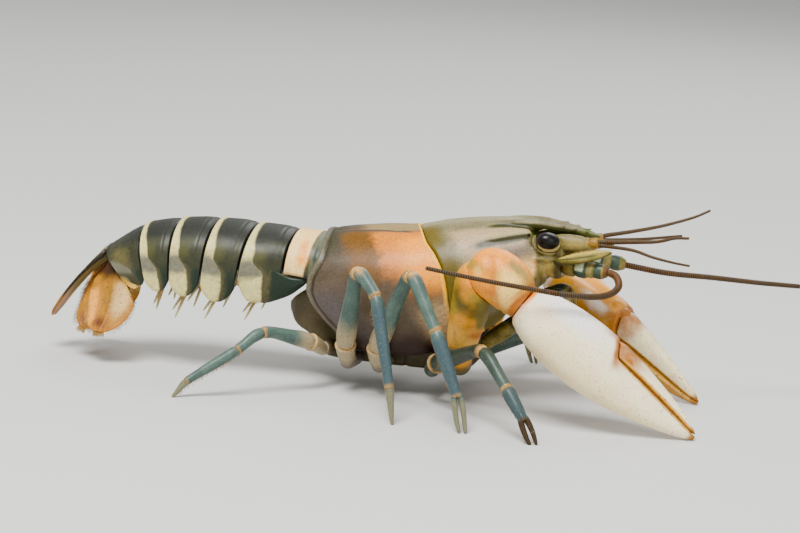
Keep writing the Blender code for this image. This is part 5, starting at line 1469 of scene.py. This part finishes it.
legs = {
    "sides": 28, "bends": (1.6, 2.6, 3.2, 2.0, 1.6), "pincers": (2, 3),
    "scale": {2: 0.95, 3: 1.0, 4: 1.0, 5: 0.84},
    "hairs": {2: 3, 3: 2, 4: 2, 5: 5}, "hairWidth": 0.04,
    # root wall, hip, elbow, knee, wrist, ankle and foot
    "right": {
        2: [(23.0, -5.6, 6.4), (23.2, -10.6, 5.9), (24.6, -13.8, 8.0), (35.6, -26.6, 14.4),
            (41.3, -32.0, 8.6), (45.3, -35.0, 3.8), (47.6, -36.0, -0.4)],
        3: [(13.4, -5.6, 5.9), (13.3, -10.9, 5.7), (13.1, -14.0, 9.6), (20.9, -24.0, 26.8),
            (27.2, -29.0, 17.0), (32.5, -32.3, 6.2), (34.2, -33.5, -0.4)],
        4: [(7.4, -5.6, 5.9), (7.2, -10.9, 5.8), (7.1, -13.8, 9.6), (10.6, -23.0, 26.2),
            (15.4, -27.0, 22.0), (20.0, -32.0, 6.4), (21.2, -33.0, -0.4)],
        5: [(2.4, -5.6, 7.4), (1.8, -9.4, 7.4), (0.6, -13.2, 9.4), (-7.1, -21.0, 12.3),
            (-10.5, -24.5, 8.8), (-18.8, -29.4, 2.9), (-20.9, -31.0, -0.3)]},
    "left": {
        2: [(23.0, 5.6, 6.4), (24.0, 10.4, 5.5), (26.6, 14.0, 5.4), (39.6, 23.6, 9.2), (46.0, 28.2, 7.0),
            (50.0, 30.8, 3.4), (52.0, 31.8, -0.4)],
        3: [(13.4, 5.6, 5.9), (13.6, 10.9, 5.7), (14.2, 14.0, 9.4), (22.6, 24.6, 24.0), (29.0, 29.4, 16.2),
            (33.9, 32.4, 6.0), (35.6, 33.4, -0.4)],
        4: [(7.4, 5.6, 5.9), (7.4, 10.9, 5.8), (7.2, 13.8, 9.4), (9.4, 24.0, 24.4), (11.0, 28.4, 19.6),
            (12.6, 33.0, 5.8), (13.0, 34.0, -0.4)],
        5: [(2.4, 5.6, 7.4), (2.0, 9.6, 7.4), (1.4, 13.4, 9.4), (-0.6, 22.4, 18.6), (-0.2, 26.4, 14.8),
            (1.6, 31.8, 4.6), (2.2, 33.0, -0.4)]},
    # place along the leg, radius
    "radii": [(0, 1.65), (1.0, 1.5), (1.4, 1.7), (2.0, 1.9), (2.15, 1.9), (2.5, 1.6), (2.85, 1.3),
              (3.0, 1.29), (3.2, 1.35), (3.5, 1.25), (3.9, 1.1), (4.1, 1.2), (4.5, 1.15), (4.9, 0.88),
              (5.1, 0.8), (5.6, 0.52), (6.0, 0.3)],
    # share of one shell, swelling: a narrow root and a lip at the end
    "shellForm": [(-0.1, 0.74), (0.0, 0.82), (0.06, 0.94), (0.16, 1.0), (0.5, 0.97), (0.84, 1.0),
                  (0.93, 1.06), (0.97, 1.07), (1.0, 0.97), (1.05, 0.8)],
}
legPaint = paintMaterial("legPaint", {
    "base": (108, 136, 122), "base2": (90, 116, 106), "grain": 1300, "pits": 0.3, "rough": (0.34, 0.5),
    "coat": 0.08,
    "patches": [
        ("blue", (78, 106, 108), 0.5, 1.0, 300), ("pale", (186, 171, 148), 0.5, 0.9, 320),
        # the dark olive patch is painted shade on the first walking legs
        ("mauve", (150, 134, 124), 0.5, 1.0, 380), ("dusk", (66, 72, 56), 0.5, 0.9, 350),
        ("cream", (204, 176, 138), 0.8, 0.9, 700), ("orange", (160, 116, 72), 0.9, 0.8, 800),
        ("brown", (84, 56, 40), 0.5, 0.8, 600), ("tipPale", (150, 144, 118), 0.4, 0.8, 600)],
    "specks": [(None, (62, 82, 76), 3000, 0.3), (None, (140, 160, 138), 3200, 0.1),
               ("cream", (150, 92, 50), 3000, 0.35)],
})


def shellTube(path, at, first, number, hint, scale):
    # one shell of the leg from joint to joint: narrow at its root, swelling to a lip at its end
    inside = (at >= first - 0.02) & (at <= first + 1 + 0.012)
    piece, place = path[inside], at[inside]
    fine = np.linspace(0, len(piece) - 1, max(len(piece) * 2, 26))
    piece = np.stack([np.interp(fine, np.arange(len(piece)), piece[:, k]) for k in range(3)], -1)
    place = np.interp(fine, np.arange(len(place)), place)
    share = place - first
    radius = curveAt(legs["radii"], place) * legs["scale"][number] * scale
    form = curveAt(legs["shellForm"], share) if first < 5 else 1
    return tubeGrid(piece, radius * form, legs["sides"], hint), share, place


def legSkins(number, word):
    corners = [np.array(c, float) for c in legs[word][number]]
    pincer = number in legs["pincers"]
    path, at = bentPath(corners, legs["bends"], 0.25)
    hint = (1, 0, 0.2)
    wall = -1 if corners[0][1] < 0 else 1
    upper, lower = [], []
    for first in range(5 if pincer else 6):
        scale = 1.12 if pincer and first == 4 else 1.0
        grid, share, place = shellTube(path, at, first, number, hint, scale)
        wide, along = share[:, None], place[:, None]
        knee = 1.0 if first in (2, 3) else 0.75
        rims = np.maximum(fade(wide, 0.93, 0.98) * 0.75, 0.6 * fade(wide, 0.05, 0.0))
        masks = {
            "cream": rims * (first > 0) * knee
            + spot(grid, corners[3][0], corners[3][2] + 0.5, 1.8, 1.6) * 0.95 * (number in (3, 4)),
            "orange": hill(wide, 0.975, 0.02) * (first >= 2) * 0.6,
            "pale": fade(along, 2.5, 2.05) * (number > 2),
            "mauve": fade(along, 1.7, 0.9) * (number in (3, 4)),
            "blue": fade(along, 3.95, 4.25) * (number != 5),
            "brown": (fade(along, 4.75, 5.1) * (number == 2)
                      + 0.6 * fade(along, 1.0, 0.4) * (number in (2, 5))),
            "tipPale": fade(along, 4.85, 5.2) * (number > 2),
            # painted shade: the first walking legs, under the claw arms, are darkened most towards the body
            # and on the right side
            "dusk": (1 - 0.6 * fade(along, 2.6, 4.5)) * (number == 2) * (0.8 if word == "right" else 0.3),
        }
        if first == 5:
            # the last joint is a claw that ends in a point on the floor
            shrink = roundEnds(np.clip(share, 0, 1), 0.02, 0.25)
            middle = grid.mean(1, keepdims=True)
            grid = (grid - middle) * shrink[:, None, None] + middle
        half = upper if first < 3 else lower
        half.append(wrap(grid, masks))
        if first > 0:
            # the soft skin of the joint
            middle = np.argmin(np.abs(at - first))
            centre, radius = path[middle], float(curveAt(legs["radii"], first)) * legs["scale"][number] * 0.86
            way = unit(path[min(middle + 2, len(path) - 1)] - path[max(middle - 2, 0)])
            a = np.linspace(0.05, math.pi - 0.05, 12)
            ball = tubeGrid(centre - way * (np.cos(a) * radius * 0.9)[:, None], np.sin(a) * radius, 20, hint)
            half.append(wrap(ball, {"cream": 0.6, "orange": 0.5, "pale": first < 2 and number > 2}))
    if pincer:
        ankle, foot = corners[5], corners[6]
        down = unit(foot - ankle)
        apart = across(down, (1, -0.3 * wall, 0))[0]
        for sign in (-1, 1):
            out = apart * sign
            keys = [ankle - down * 1.2 + out * 0.35, ankle + down * 0.4 + out * 0.62,
                    (ankle + foot) / 2 + out * 0.72, foot + out * 0.5]
            finger = softLoop(keys, 14, closed=False)
            share = np.linspace(0, 1, len(finger))
            radius = curveAt([(0, 0.42), (0.2, 0.58), (0.6, 0.5), (0.9, 0.34), (1, 0.1)], share)
            masks = {"tipPale": 0.9 * fade(share, 0.1, 0.5) * (number == 3),
                     "brown": 0.9 * fade(share, 0.0, 0.3) * (number == 2), "blue": 0.6}
            lower.append(wrap(tubeGrid(finger, radius, 16, hint), masks))
    for patch in lower:
        patch["points"][:, 2] = np.maximum(patch["points"][:, 2], 0.0)
    makePiece(f"legUpper{number}_{word}", upper, [f"leg{number}_{word}_upper"], legPaint)
    makePiece(f"legLower{number}_{word}", lower, [f"leg{number}_{word}_lower"], legPaint)
    return path, at


def buildLegs():
    for word in ("right", "left"):
        hairs = []
        for number in (2, 3, 4, 5):
            path, at = legSkins(number, word)
            # hairs stand under the last two shells, thickest on the rear legs
            for i in range(len(path)):
                if at[i] < 3.9 or at[i] > 5.7 or path[i][2] < 0.8:
                    continue
                run = unit(path[min(i + 1, len(path) - 1)] - path[i - 1])
                for _ in range(legs["hairs"][number]):
                    turn = draw.uniform(-0.9, 0.9)
                    u, v = across(run, (0, 0, -1))
                    outward = unit(u * math.cos(turn) + v * math.sin(turn))
                    radius = float(curveAt(legs["radii"], at[i])) * legs["scale"][number] * 0.9
                    way = unit(outward + run * 0.7 + draw.normal(0, 0.12, 3))
                    hairs.append((path[i] + outward * radius, way, draw.uniform(0.45, 1.0),
                                  (0.12 + 0.2 * (number - 2) + 0.05 * turn, 0.05 + 0.9 * at[i] / 6)))
        makeHairs(f"legHairs_{word}", hairs, legs["hairWidth"])
    print("legs made")


buildLegs()


# Claw arms

claws = {
    "length": 39.2, "knuckle": 0.43, "sides": 96, "wristSides": 64, "wristRings": 60,
    "roundness": 0.87,          # power of the claw's cross-section, 1 for an ellipse
    "socket": (0.425, 0.505),   # where the palm's corner slopes down to the fingers' gap
    "coxa": [(27.6, 5.6, 7.3), (28.2, 9.6, 7.2), (28.6, 12.4, 10.4)],
    "right": {"slit": 1.7, "elbow": (32.2, -18.4, 25.4), "shoulder": (30.6, -18.0, 26.6),
              "bend": (36.2, -19.0, 26.3), "wrist": (41.2, -20.0, 21.9), "tip": (73.7, -19.0, 0.15),
              "width": (0.41, 0.66, 0.63)},
    "left": {"slit": 1.6, "elbow": (31.6, 18.6, 24.8), "shoulder": (30.0, 18.2, 26.0),
             "bend": (35.6, 19.8, 25.6), "wrist": (40.2, 20.8, 21.2), "tip": (71.0, 11.2, 0.15),
             "width": (0.36, -0.66, 0.66)},
    # share of the claw length, lateral edge, mesial edge, thickness
    "outline": [(0.0, -3.4, 3.6, 5.8), (0.04, -4.5, 4.5, 6.8), (0.12, -5.7, 5.5, 7.8), (0.24, -6.6, 6.3, 8.4),
                (0.36, -6.8, 6.6, 8.1), (0.46, -6.6, 6.5, 7.5), (0.6, -5.7, 5.8, 6.0), (0.74, -4.2, 4.7, 4.5),
                (0.86, -2.6, 3.5, 3.1), (0.95, -1.1, 2.2, 1.9), (1.0, -0.1, 1.2, 0.9)],
    # share, how far the fixed finger's inner edge has come down, gap between the fingers
    "slitKeys": [(0.43, 0.0, 0.45), (0.5, 0.12, 0.8), (0.62, 0.34, 0.95), (0.75, 0.62, 0.85),
                 (0.87, 0.88, 0.65), (0.95, 1.0, 0.45), (1.0, 1.0, 0.4)],
    "toothGrain": 0.2, "armGrain": 0.22, "wristGrain": 0.2,
    "lastKnob": 44,             # the wrist's ring that the last knobs stand on
}


def clawFrame(arm):
    wrist, tip = np.array(arm["wrist"], float), np.array(arm["tip"], float)
    axis = unit(tip - wrist)
    wide, face = across(axis, arm["width"])
    return tip - axis * claws["length"], axis, wide, face


def slitAt(arm, share):
    down, width = np.moveaxis(curveAt(claws["slitKeys"], share), -1, 0)
    edge = arm["slit"] * (1 - down) + 0.62 * down
    high = curveAt(claws["outline"], share)[..., 1]
    corner = 1 - fade(share, *claws["socket"])
    edge = edge + (high + 0.4 - edge) * corner
    return edge, edge + width * (1 - 0.3 * corner)


def clawGrid(frameOf, shares, below=None, above=None, slim=1.0):
    base, axis, wide, face = frameOf
    angle = ringAngles(claws["sides"])
    c, s = np.cos(angle), np.sin(angle)
    rings = []
    for n, share in enumerate(shares):
        low, high, thick = curveAt(claws["outline"], share)
        middle, half = (low + high) / 2, (high - low) / 2
        rise = np.sign(s) * np.abs(s) ** claws["roundness"]
        wanted = middle + half * np.sign(c) * np.abs(c) ** claws["roundness"]
        place = wanted
        if below is not None and below[n] is not None:
            place = np.minimum(wanted, below[n])
        if above is not None:
            place = np.maximum(wanted, above[n])
        moved = np.abs(place - wanted) > 1e-9
        rise = np.where(moved, rise * np.sqrt(np.maximum(1 - ((place - middle) / half) ** 2, 0)), rise)
        rings.append(base + axis * claws["length"] * share + wide * place[:, None]
                     + face * (thick / 2 * rise * slim)[:, None])
    return np.array(rings)


def clawMasks(points, arm, side, moving):
    base, axis, wide, _ = clawFrame(arm)
    out = points - base
    share, place = out @ axis / claws["length"], out @ wide
    inner, innerMoving = slitAt(arm, np.clip(share, claws["knuckle"], 1))
    edge = (place - innerMoving) if moving else (inner - place)
    high = curveAt(claws["outline"], np.clip(share, 0, 1))[:, 1]
    around = unit(out - (out @ axis)[:, None] * axis)
    near = around @ unit(np.array([0.1, -side, -0.25]))
    # amber colour with painted shade in it on the claw's inner lower face; on the far claw also towards its
    # root, kept off its top
    if side > 0:
        amber = np.maximum(fade(near, -0.35, 0.2), fade(share, 0.3, 0.16))
        amber = amber * (1 - 0.9 * hill(share, 0.33, 0.1) * fade(around[:, 2], 0.1, 0.6))
    else:
        amber = fade(near, 0.1, 0.6)
    if moving:
        root = fade(share, 0.7 if side < 0 else 0.62, 0.52)
    else:
        root = hill(share, 0.455, 0.085) * fade(place - inner, -4.0, -0.8)
    return {
        "rimOrange": fade(share, 0.035, 0.01) * (0.4 + 0.6 * fade(place, -3, 2)),
        "knuckle": root * (0.9 if moving else 1.0) * (1.0 if side < 0 else 0.75),
        "biteEdge": fade(edge, 0.75, 0.2) * fade(share, 0.46, 0.56),
        "amber": amber * fade(share, 0.02, 0.08) * (0.25 if moving else 1.0),
        "tipBrown": fade(share, 0.94, 0.995),
        "tipSpecks": fade(share, 0.6, 0.95),
        "shadeGrey": hill(share, 0.2, 0.24) * fade(place, -2, 3),
        # painted shade: the claw's lower edge is made a darker beige
        "blush": fade(-place, -0.5, 5.5) * fade(share, 0.05, 0.2) * 0.6,
        "rimLine": fade(place / high, 0.86, 0.97) * span(share, 0.04, 0.1, 0.4, 0.46),
    }


clawPaint = paintMaterial("clawPaint", {
    "base": (228, 220, 210), "base2": (220, 210, 202), "grain": 1000, "pits": 0.45, "rough": (0.32, 0.44),
    "coat": 0.12, "glow": 0.05, "mottle": 0.14,
    "patches": [
        # the beige patch along the claw's lower edge is painted shade
        ("shadeGrey", (216, 213, 212), 0.3, 1.0, 260), ("blush", (212, 202, 184), 0.4, 1.0, 260),
        # the amber patch is partly the claw's own colour and partly painted shade on its inner lower face
        ("amber", (198, 152, 72), 0.9, 1.0, 420), ("knuckle", (190, 118, 34), 0.8, 1.0, 420),
        ("rimLine", (212, 172, 116), 0.9, 0.8, 900), ("rimOrange", (214, 146, 66), 0.5, 0.9, 420),
        ("biteEdge", (206, 176, 122), 0.9, 0.9, 700),
        ("tipBrown", (184, 122, 70), 0.5, 0.9, 700)],
    "specks": [(None, (190, 174, 154), 2500, 0.16), ("tipSpecks", (150, 96, 52), 2300, 0.12),
               ("biteEdge", (128, 78, 40), 2000, 0.45)],
})
armPaint = paintMaterial("armPaint", {
    "base": (210, 166, 94), "base2": (194, 148, 78), "grain": 1000, "pits": 0.35, "rough": (0.34, 0.48),
    "glow": 0.04, "mottle": 0.3,
    "patches": [
        ("tan", (150, 128, 64), 0.8, 1.0, 330), ("yellow", (190, 166, 88), 0.7, 1.0, 300),
        ("olivePatch", (118, 98, 34), 1.0, 1.0, 420), ("lowPeach", (208, 178, 120), 0.6, 1.0, 300),
        ("root", (122, 104, 62), 0.4, 0.9, 320), ("rearLobe", (226, 178, 88), 0.6, 1.0, 300),
        # on the wrist the cream patch is a painted highlight
        ("topOrange", (236, 182, 96), 0.6, 1.0, 300), ("cream", (244, 222, 184), 0.5, 1.0, 280),
        ("greyStripe", (168, 154, 110), 0.8, 1.0, 600), ("endOrange", (196, 124, 30), 0.7, 1.0, 400),
        ("fold", (210, 132, 58), 0.6, 1.0, 420), ("knobRed", (206, 124, 50), 0.5, 1.0, 500)],
    "specks": [(None, (182, 124, 66), 3000, 0.2), ("topOrange", (196, 104, 62), 2600, 0.3)],
})


def pinched(grid, keys, shares):
    # rings drawn in or let out round their middles
    middle = grid.mean(1, keepdims=True)
    return middle + (grid - middle) * curveAt(keys, shares)[:, None, None]


def clawPiece(clay, word, arm, side, part):
    patch = sculpt(clay, claws["toothGrain"], 3)
    patch["points"][:, 2] = np.maximum(patch["points"][:, 2], 0.0)
    patch["masks"] = clawMasks(patch["points"], arm, side, part == "finger")
    makePiece(f"{part}Skin_{word}", [patch], [f"claw_{word}_{part}"], clawPaint)


def palmSkin(word, arm, side):
    frameOf = clawFrame(arm)
    base, axis, wide, _ = frameOf
    before = [0.0, 0.003, 0.008, 0.014, 0.022, *np.linspace(0.032, claws["knuckle"] - 0.014, 44)]
    after = np.linspace(claws["knuckle"] - 0.004, 1.0, 76)
    shares = np.concatenate([before, after])
    below = [None] * len(before) + list(slitAt(arm, after)[0])
    grid = clawGrid(frameOf, shares, below)
    # the wrist end is drawn in to a rounded rim
    keys = [(0, 0.9), (0.012, 1.0), (0.02, 1.02), (0.035, 0.985), (0.06, 1.0), (1, 1.0)]
    clay = [wrap(pinched(grid, keys, shares))]
    for i, share in enumerate(np.linspace(0.5, 0.93, 13)):
        inner = slitAt(arm, share)[0]
        at = base + axis * claws["length"] * share + wide * (inner - 0.35)
        tall = (0.5 if i % 3 else 0.75) * (1.15 - 0.6 * share)
        clay.append(thorn(at, at + wide * (0.35 + tall), 0.5))
    if side > 0:
        # two bumps over the far claw's knuckle
        for share, lift in ((0.4, 0.1), (0.455, -0.2)):
            high = float(curveAt(claws["outline"], share)[1])
            spotAt = base + axis * claws["length"] * share + wide * (high - 0.6 + lift)
            clay.append(knob(spotAt, (1.3, 1.1, 1.1)))
    clawPiece(clay, word, arm, side, "palm")


def fingerSkin(word, arm, side):
    frameOf = clawFrame(arm)
    base, axis, wide, _ = frameOf
    tries = np.linspace(claws["knuckle"] + gap / claws["length"], 0.55, 60)
    room = curveAt(claws["outline"], tries)[:, 1] - slitAt(arm, tries)[1]
    start = float(tries[np.argmax(room > 0.7)])
    shares = np.concatenate([[start, start + 0.004, start + 0.01], np.linspace(start + 0.02, 0.992, 76)])
    above = list(slitAt(arm, shares)[1])
    grid = clawGrid(frameOf, shares, None, above, 0.8)
    keys = [(start, 0.6), (start + 0.012, 0.86), (start + 0.035, 1.0), (0.97, 1.0), (0.992, 0.7)]
    clay = [wrap(pinched(grid, keys, shares))]
    for i, share in enumerate(np.linspace(0.53, 0.93, 10)):
        inner = slitAt(arm, share)[1]
        at = base + axis * claws["length"] * share + wide * (inner + 0.35)
        clay.append(thorn(at, at - wide * (0.6 if i % 2 else 0.72), 0.42))
    clawPiece(clay, word, arm, side, "finger")


def wristGrid(arm, swell):
    base, axis, _, _ = clawFrame(arm)
    path = smoothPath([arm["shoulder"], arm["bend"], base - axis * gap * 0.6], claws["wristRings"])
    radii = [(0, 2.2, 2.0), (1 / 7, 3.9, 3.6), (2 / 7, 4.7, 4.3), (3 / 7, 4.9, 4.5), (4 / 7, 4.9, 4.5),
             (5 / 7, 4.7, 4.3), (6 / 7, 4.2, 3.9), (1.0, 3.2, 3.0)]
    share = np.linspace(0, 1, claws["wristRings"])
    grid = tubeGrid(path, curveAt(radii, share) + swell, claws["wristSides"], (0, 0, 1), None, axis)
    return grid, path, share


def armSkins(word, arm, side):
    elbow = np.array(arm["elbow"], float)
    coxa = [mirrored(c, side) for c in claws["coxa"]]
    rise = unit(elbow - coxa[2])
    path, at = bentPath(coxa, (2.0,), 0.2)
    radius = curveAt([(0, 2.1), (0.15, 2.3), (0.85, 2.25), (0.98, 1.95), (1.05, 2.0), (1.2, 2.35),
                      (1.7, 2.45), (1.9, 2.4), (2.0, 2.1)], at)
    grid = tubeGrid(path, radius, 40, (1, 0, 0), (0, side, 0), rise)
    makePiece(f"armRoot_{word}", [wrap(grid, {"root": fade(at, 2.0, 1.2)})], [f"claw_{word}_root"],
              armPaint)
    # upper arm, hollowed where the wrist turns in it
    start = coxa[2] + rise * gap * 0.5
    length = np.linalg.norm(elbow - start)
    keys = [(0, 2.1, 2.0), (0.05, 2.5, 2.3), (0.14, 2.9, 2.6), (0.45, 3.4, 2.9), (0.75, 3.9, 3.2),
            (1.0, 4.0, 3.2), (1.08, 3.6, 2.9), (1.14, 2.9, 2.4)]
    share = np.linspace(0, 1.14, 64)
    grid = tubeGrid(start + rise * (length * share)[:, None], curveAt(keys, share), 64, (1, 0, 0))
    back = start + rise * length * 0.75 + np.array([-2.6, 0, 1.0])
    clay = [wrap(grid), thorn(back, back + (-1.2, side * 0.3, 2.2), 0.8)]
    for n, height in enumerate((0.35, 0.5, 0.64)):
        low = start + rise * length * height + np.array([2.8, side * -0.6, -0.4])
        clay.append(thorn(low, low + (1.1, side * -0.2, -0.3), 0.5))
    room = wrap(wristGrid(arm, gap * 0.5)[0])
    upper = sculpt(clay, claws["armGrain"], 4, [room])
    # spots and strokes are laid out for the right arm, so the left one is shifted to it
    shift = (np.array(arm["bend"]) - claws["right"]["bend"]) * (1, 0, 1)
    p = upper["points"] - shift
    high = (upper["points"] - start) @ rise / length
    upper["masks"] = {
        "tan": fade(high, 0.3, 0.45) * fade(p[:, 0], 31.5, 33.0),
        "yellow": stroke(p, [(27.6, 26.5), (27.9, 19.4)], 1.3) + spot(p, 32.5, 22.5, 1.6, 1.3),
        "olivePatch": stroke(p, [(28.6, 22.6), (29.6, 20.8), (31.8, 19.4)], 1.7) * 0.7
        + stroke(p, [(35.2, 20.5), (35.6, 17.0)], 1.6) * 0.6 + spot(p, 26.7, 22.0, 0.7, 3.4) * 0.9,
        "lowPeach": fade(high, 0.5, 0.3),
        "endOrange": spot(p, 32.4, 14.4, 2.2, 0.9) + spot(p, 28.3, 14.0, 0.5, 2.5) * 0.5,
        "rearLobe": spot(p, 31.9, 25.6, 2.6, 2.4),
        "root": fade(high, 0.08, 0.0),
    }
    makePiece(f"armSkin_{word}", [upper], [f"claw_{word}_arm"], armPaint)
    # wrist: a rounded block with a furrow, knobs on its upper side and a spine inside
    grid, path, share = wristGrid(arm, 0.0)
    outer = fade((grid - path[:, None])[..., 1] * side, -1.0, 1.5)
    flat = grid - shift
    foldLine = [(34.9, 30.2), (35.5, 28.2), (35.8, 26.0), (36.3, 23.4), (36.9, 21.4)]
    furrow = 0.3 * stroke(flat, foldLine, 0.7) * outer
    creases = 0.09 * np.sin((flat[..., 0] + 0.35 * flat[..., 2]) * 6.5)
    creases = creases * spot(flat, 33.9, 28.4, 1.3, 1.3) * outer
    lobe = 0.3 * spot(flat, 32.8, 26.6, 2.0, 2.2) * outer + 0.25 * spot(flat, 38.4, 25.2, 2.2, 2.4) * outer
    collar = 0.2 * hill(share, 0.95, 0.025)[:, None] - 0.16 * hill(share, 0.89, 0.03)[:, None]
    grid = grid + unit(grid - path[:, None]) * (collar + lobe + creases - furrow)[..., None]
    clay = [wrap(grid)]
    inner = grid[34].mean(0) - np.array([0, side * 3.9, 0.6])
    clay.append(thorn(inner, inner + np.array([2.2, -side * 2.0, 0.8]), 0.9))
    for n in range(9):
        row, turn = 16 + 3 * n, draw.uniform(-0.5, 0.4) * side
        near = int((turn / (2 * math.pi)) * claws["wristSides"]) % claws["wristSides"]
        top = grid[min(row, claws["lastKnob"]), near]
        out = unit(top - path[min(row, claws["lastKnob"])])
        clay.append(thorn(top - out * 0.35, top + out * draw.uniform(0.1, 0.24), draw.uniform(0.35, 0.5)))
    block = sculpt(clay, claws["wristGrain"], 3)
    p = block["points"] - shift
    near = np.argmin(((block["points"][:, None, :] - path[None, ::6, :]) ** 2).sum(-1), 1) * 6
    along = share[near]
    away = block["points"] - path[near]
    up = away[:, 2]
    outside = fade(away[:, 1] * side, 0.0, 2.0)
    block["masks"] = {
        "rearLobe": fade(p[:, 0], 36.0, 34.6) * fade(p[:, 2], 28.5, 26.5),
        "topOrange": fade(up, 2.2, 3.8) * fade(along, 0.9, 0.55) + spot(p, 36.2, 29.5, 3.4, 1.4),
        # painted highlight: soft cream spots on the middle of the wrist
        "cream": (spot(p, 39.2, 26.4, 2.6, 2.2, -35) + spot(p, 38.4, 23.0, 2.2, 2.8)
                  + 0.5 * spot(p, 32.8, 27.6, 1.0, 1.2)),
        "greyStripe": stroke(p, [(38.9, 29.4), (42.3, 26.9)], 0.9) * fade(up, 0.8, 2.0) * 0.75 * outside,
        "endOrange": stroke(p, [(44.2, 24.6), (42.6, 23.6), (41.0, 22.6), (39.7, 20.8), (39.5, 18.6)], 1.1)
        + fade(along, 0.89, 0.97) + spot(p, 43.6, 25.6, 1.2, 1.0),
        "fold": stroke(p, foldLine, 0.8) * 0.55,
        "knobRed": 0.6 * spot(p, 35.1, 24.1, 1.2, 0.9),
        "yellow": fade(along, 0.2, 0.1) * 0.8,
    }
    makePiece(f"wristSkin_{word}", [block], [f"claw_{word}_wrist"], armPaint)


def buildClaws():
    for side, word in bothSides:
        arm = claws[word]
        armSkins(word, arm, side)
        palmSkin(word, arm, side)
        fingerSkin(word, arm, side)
    print("claws made")


buildClaws()


# Floor, light and camera

stage = {
    "yaw": 12.0, "rise": 10.0, "roll": 3.7,     # degrees
    "distance": 520.0, "mmPerPixel": 0.19,
    "target": (13.7, 0.0, 22.94),
    "floorColour": (0.62, 0.62, 0.6), "floorRoughness": 0.8, "floorSize": 6.0,
    # place, power in watts, size; lengths in metres
    "lamps": {"keyLamp": [(-0.1, -0.36, 0.68), 11.0, 0.34], "fillLamp": [(0.6, -0.55, 0.3), 2.0, 0.5],
              "backLamp": [(0.1, 0.6, 0.55), 3.0, 0.5]},
    "lampAim": (0, 0, 0.015),
    "skyColour": (0.93, 0.93, 0.92, 1), "skyStrength": 0.6, "pictureWidth": 800,
}


def buildStage():
    size = stage["floorSize"] / 2
    mesh = bpy.data.meshes.new("floor")
    corners = [(-size, -size, 0), (size, -size, 0), (size, size, 0), (-size, size, 0)]
    mesh.from_pydata(corners, [], [(0, 1, 2, 3)])
    floor = addObject("floor", mesh)
    material = bpy.data.materials.new("floorPaint")
    material.use_nodes = True
    shader = material.node_tree.nodes["Principled BSDF"]
    shader.inputs["Base Color"].default_value = (*stage["floorColour"], 1)
    shader.inputs["Roughness"].default_value = stage["floorRoughness"]
    mesh.materials.append(material)


def buildLight():
    for name, (place, power, size) in stage["lamps"].items():
        data = bpy.data.lights.new(name, "AREA")
        data.energy = power
        data.size = size
        lamp = addObject(name, data)
        lamp.location = place
        way = Vector(stage["lampAim"]) - Vector(place)
        lamp.rotation_euler = way.to_track_quat("-Z", "Y").to_euler()
    world = bpy.data.worlds.new("studio")
    world.use_nodes = True
    sky = world.node_tree.nodes["Background"]
    sky.inputs["Color"].default_value = stage["skyColour"]
    sky.inputs["Strength"].default_value = stage["skyStrength"]
    bpy.context.scene.world = world


def buildCamera():
    yaw, rise, roll = (math.radians(stage[k]) for k in ("yaw", "rise", "roll"))
    back = np.array([math.sin(yaw) * math.cos(rise), -math.cos(yaw) * math.cos(rise), math.sin(rise)])
    level = np.array([math.cos(yaw), math.sin(yaw), 0])
    upright = np.cross(back, level)
    right = level * math.cos(roll) + upright * math.sin(roll)
    up = -level * math.sin(roll) + upright * math.cos(roll)
    data = bpy.data.cameras.new("camera")
    data.sensor_width = 36.0
    data.lens = stage["distance"] / stage["mmPerPixel"] / stage["pictureWidth"] * data.sensor_width
    data.clip_start = 0.01
    camera = addObject("camera", data)
    place = (np.array(stage["target"]) + back * stage["distance"] + stand) * mm
    rows = [[right[i], up[i], back[i], place[i]] for i in range(3)] + [[0, 0, 0, 1]]
    camera.matrix_world = Matrix(rows)
    bpy.context.scene.camera = camera


buildStage()
buildLight()
buildCamera()
print("stage made")
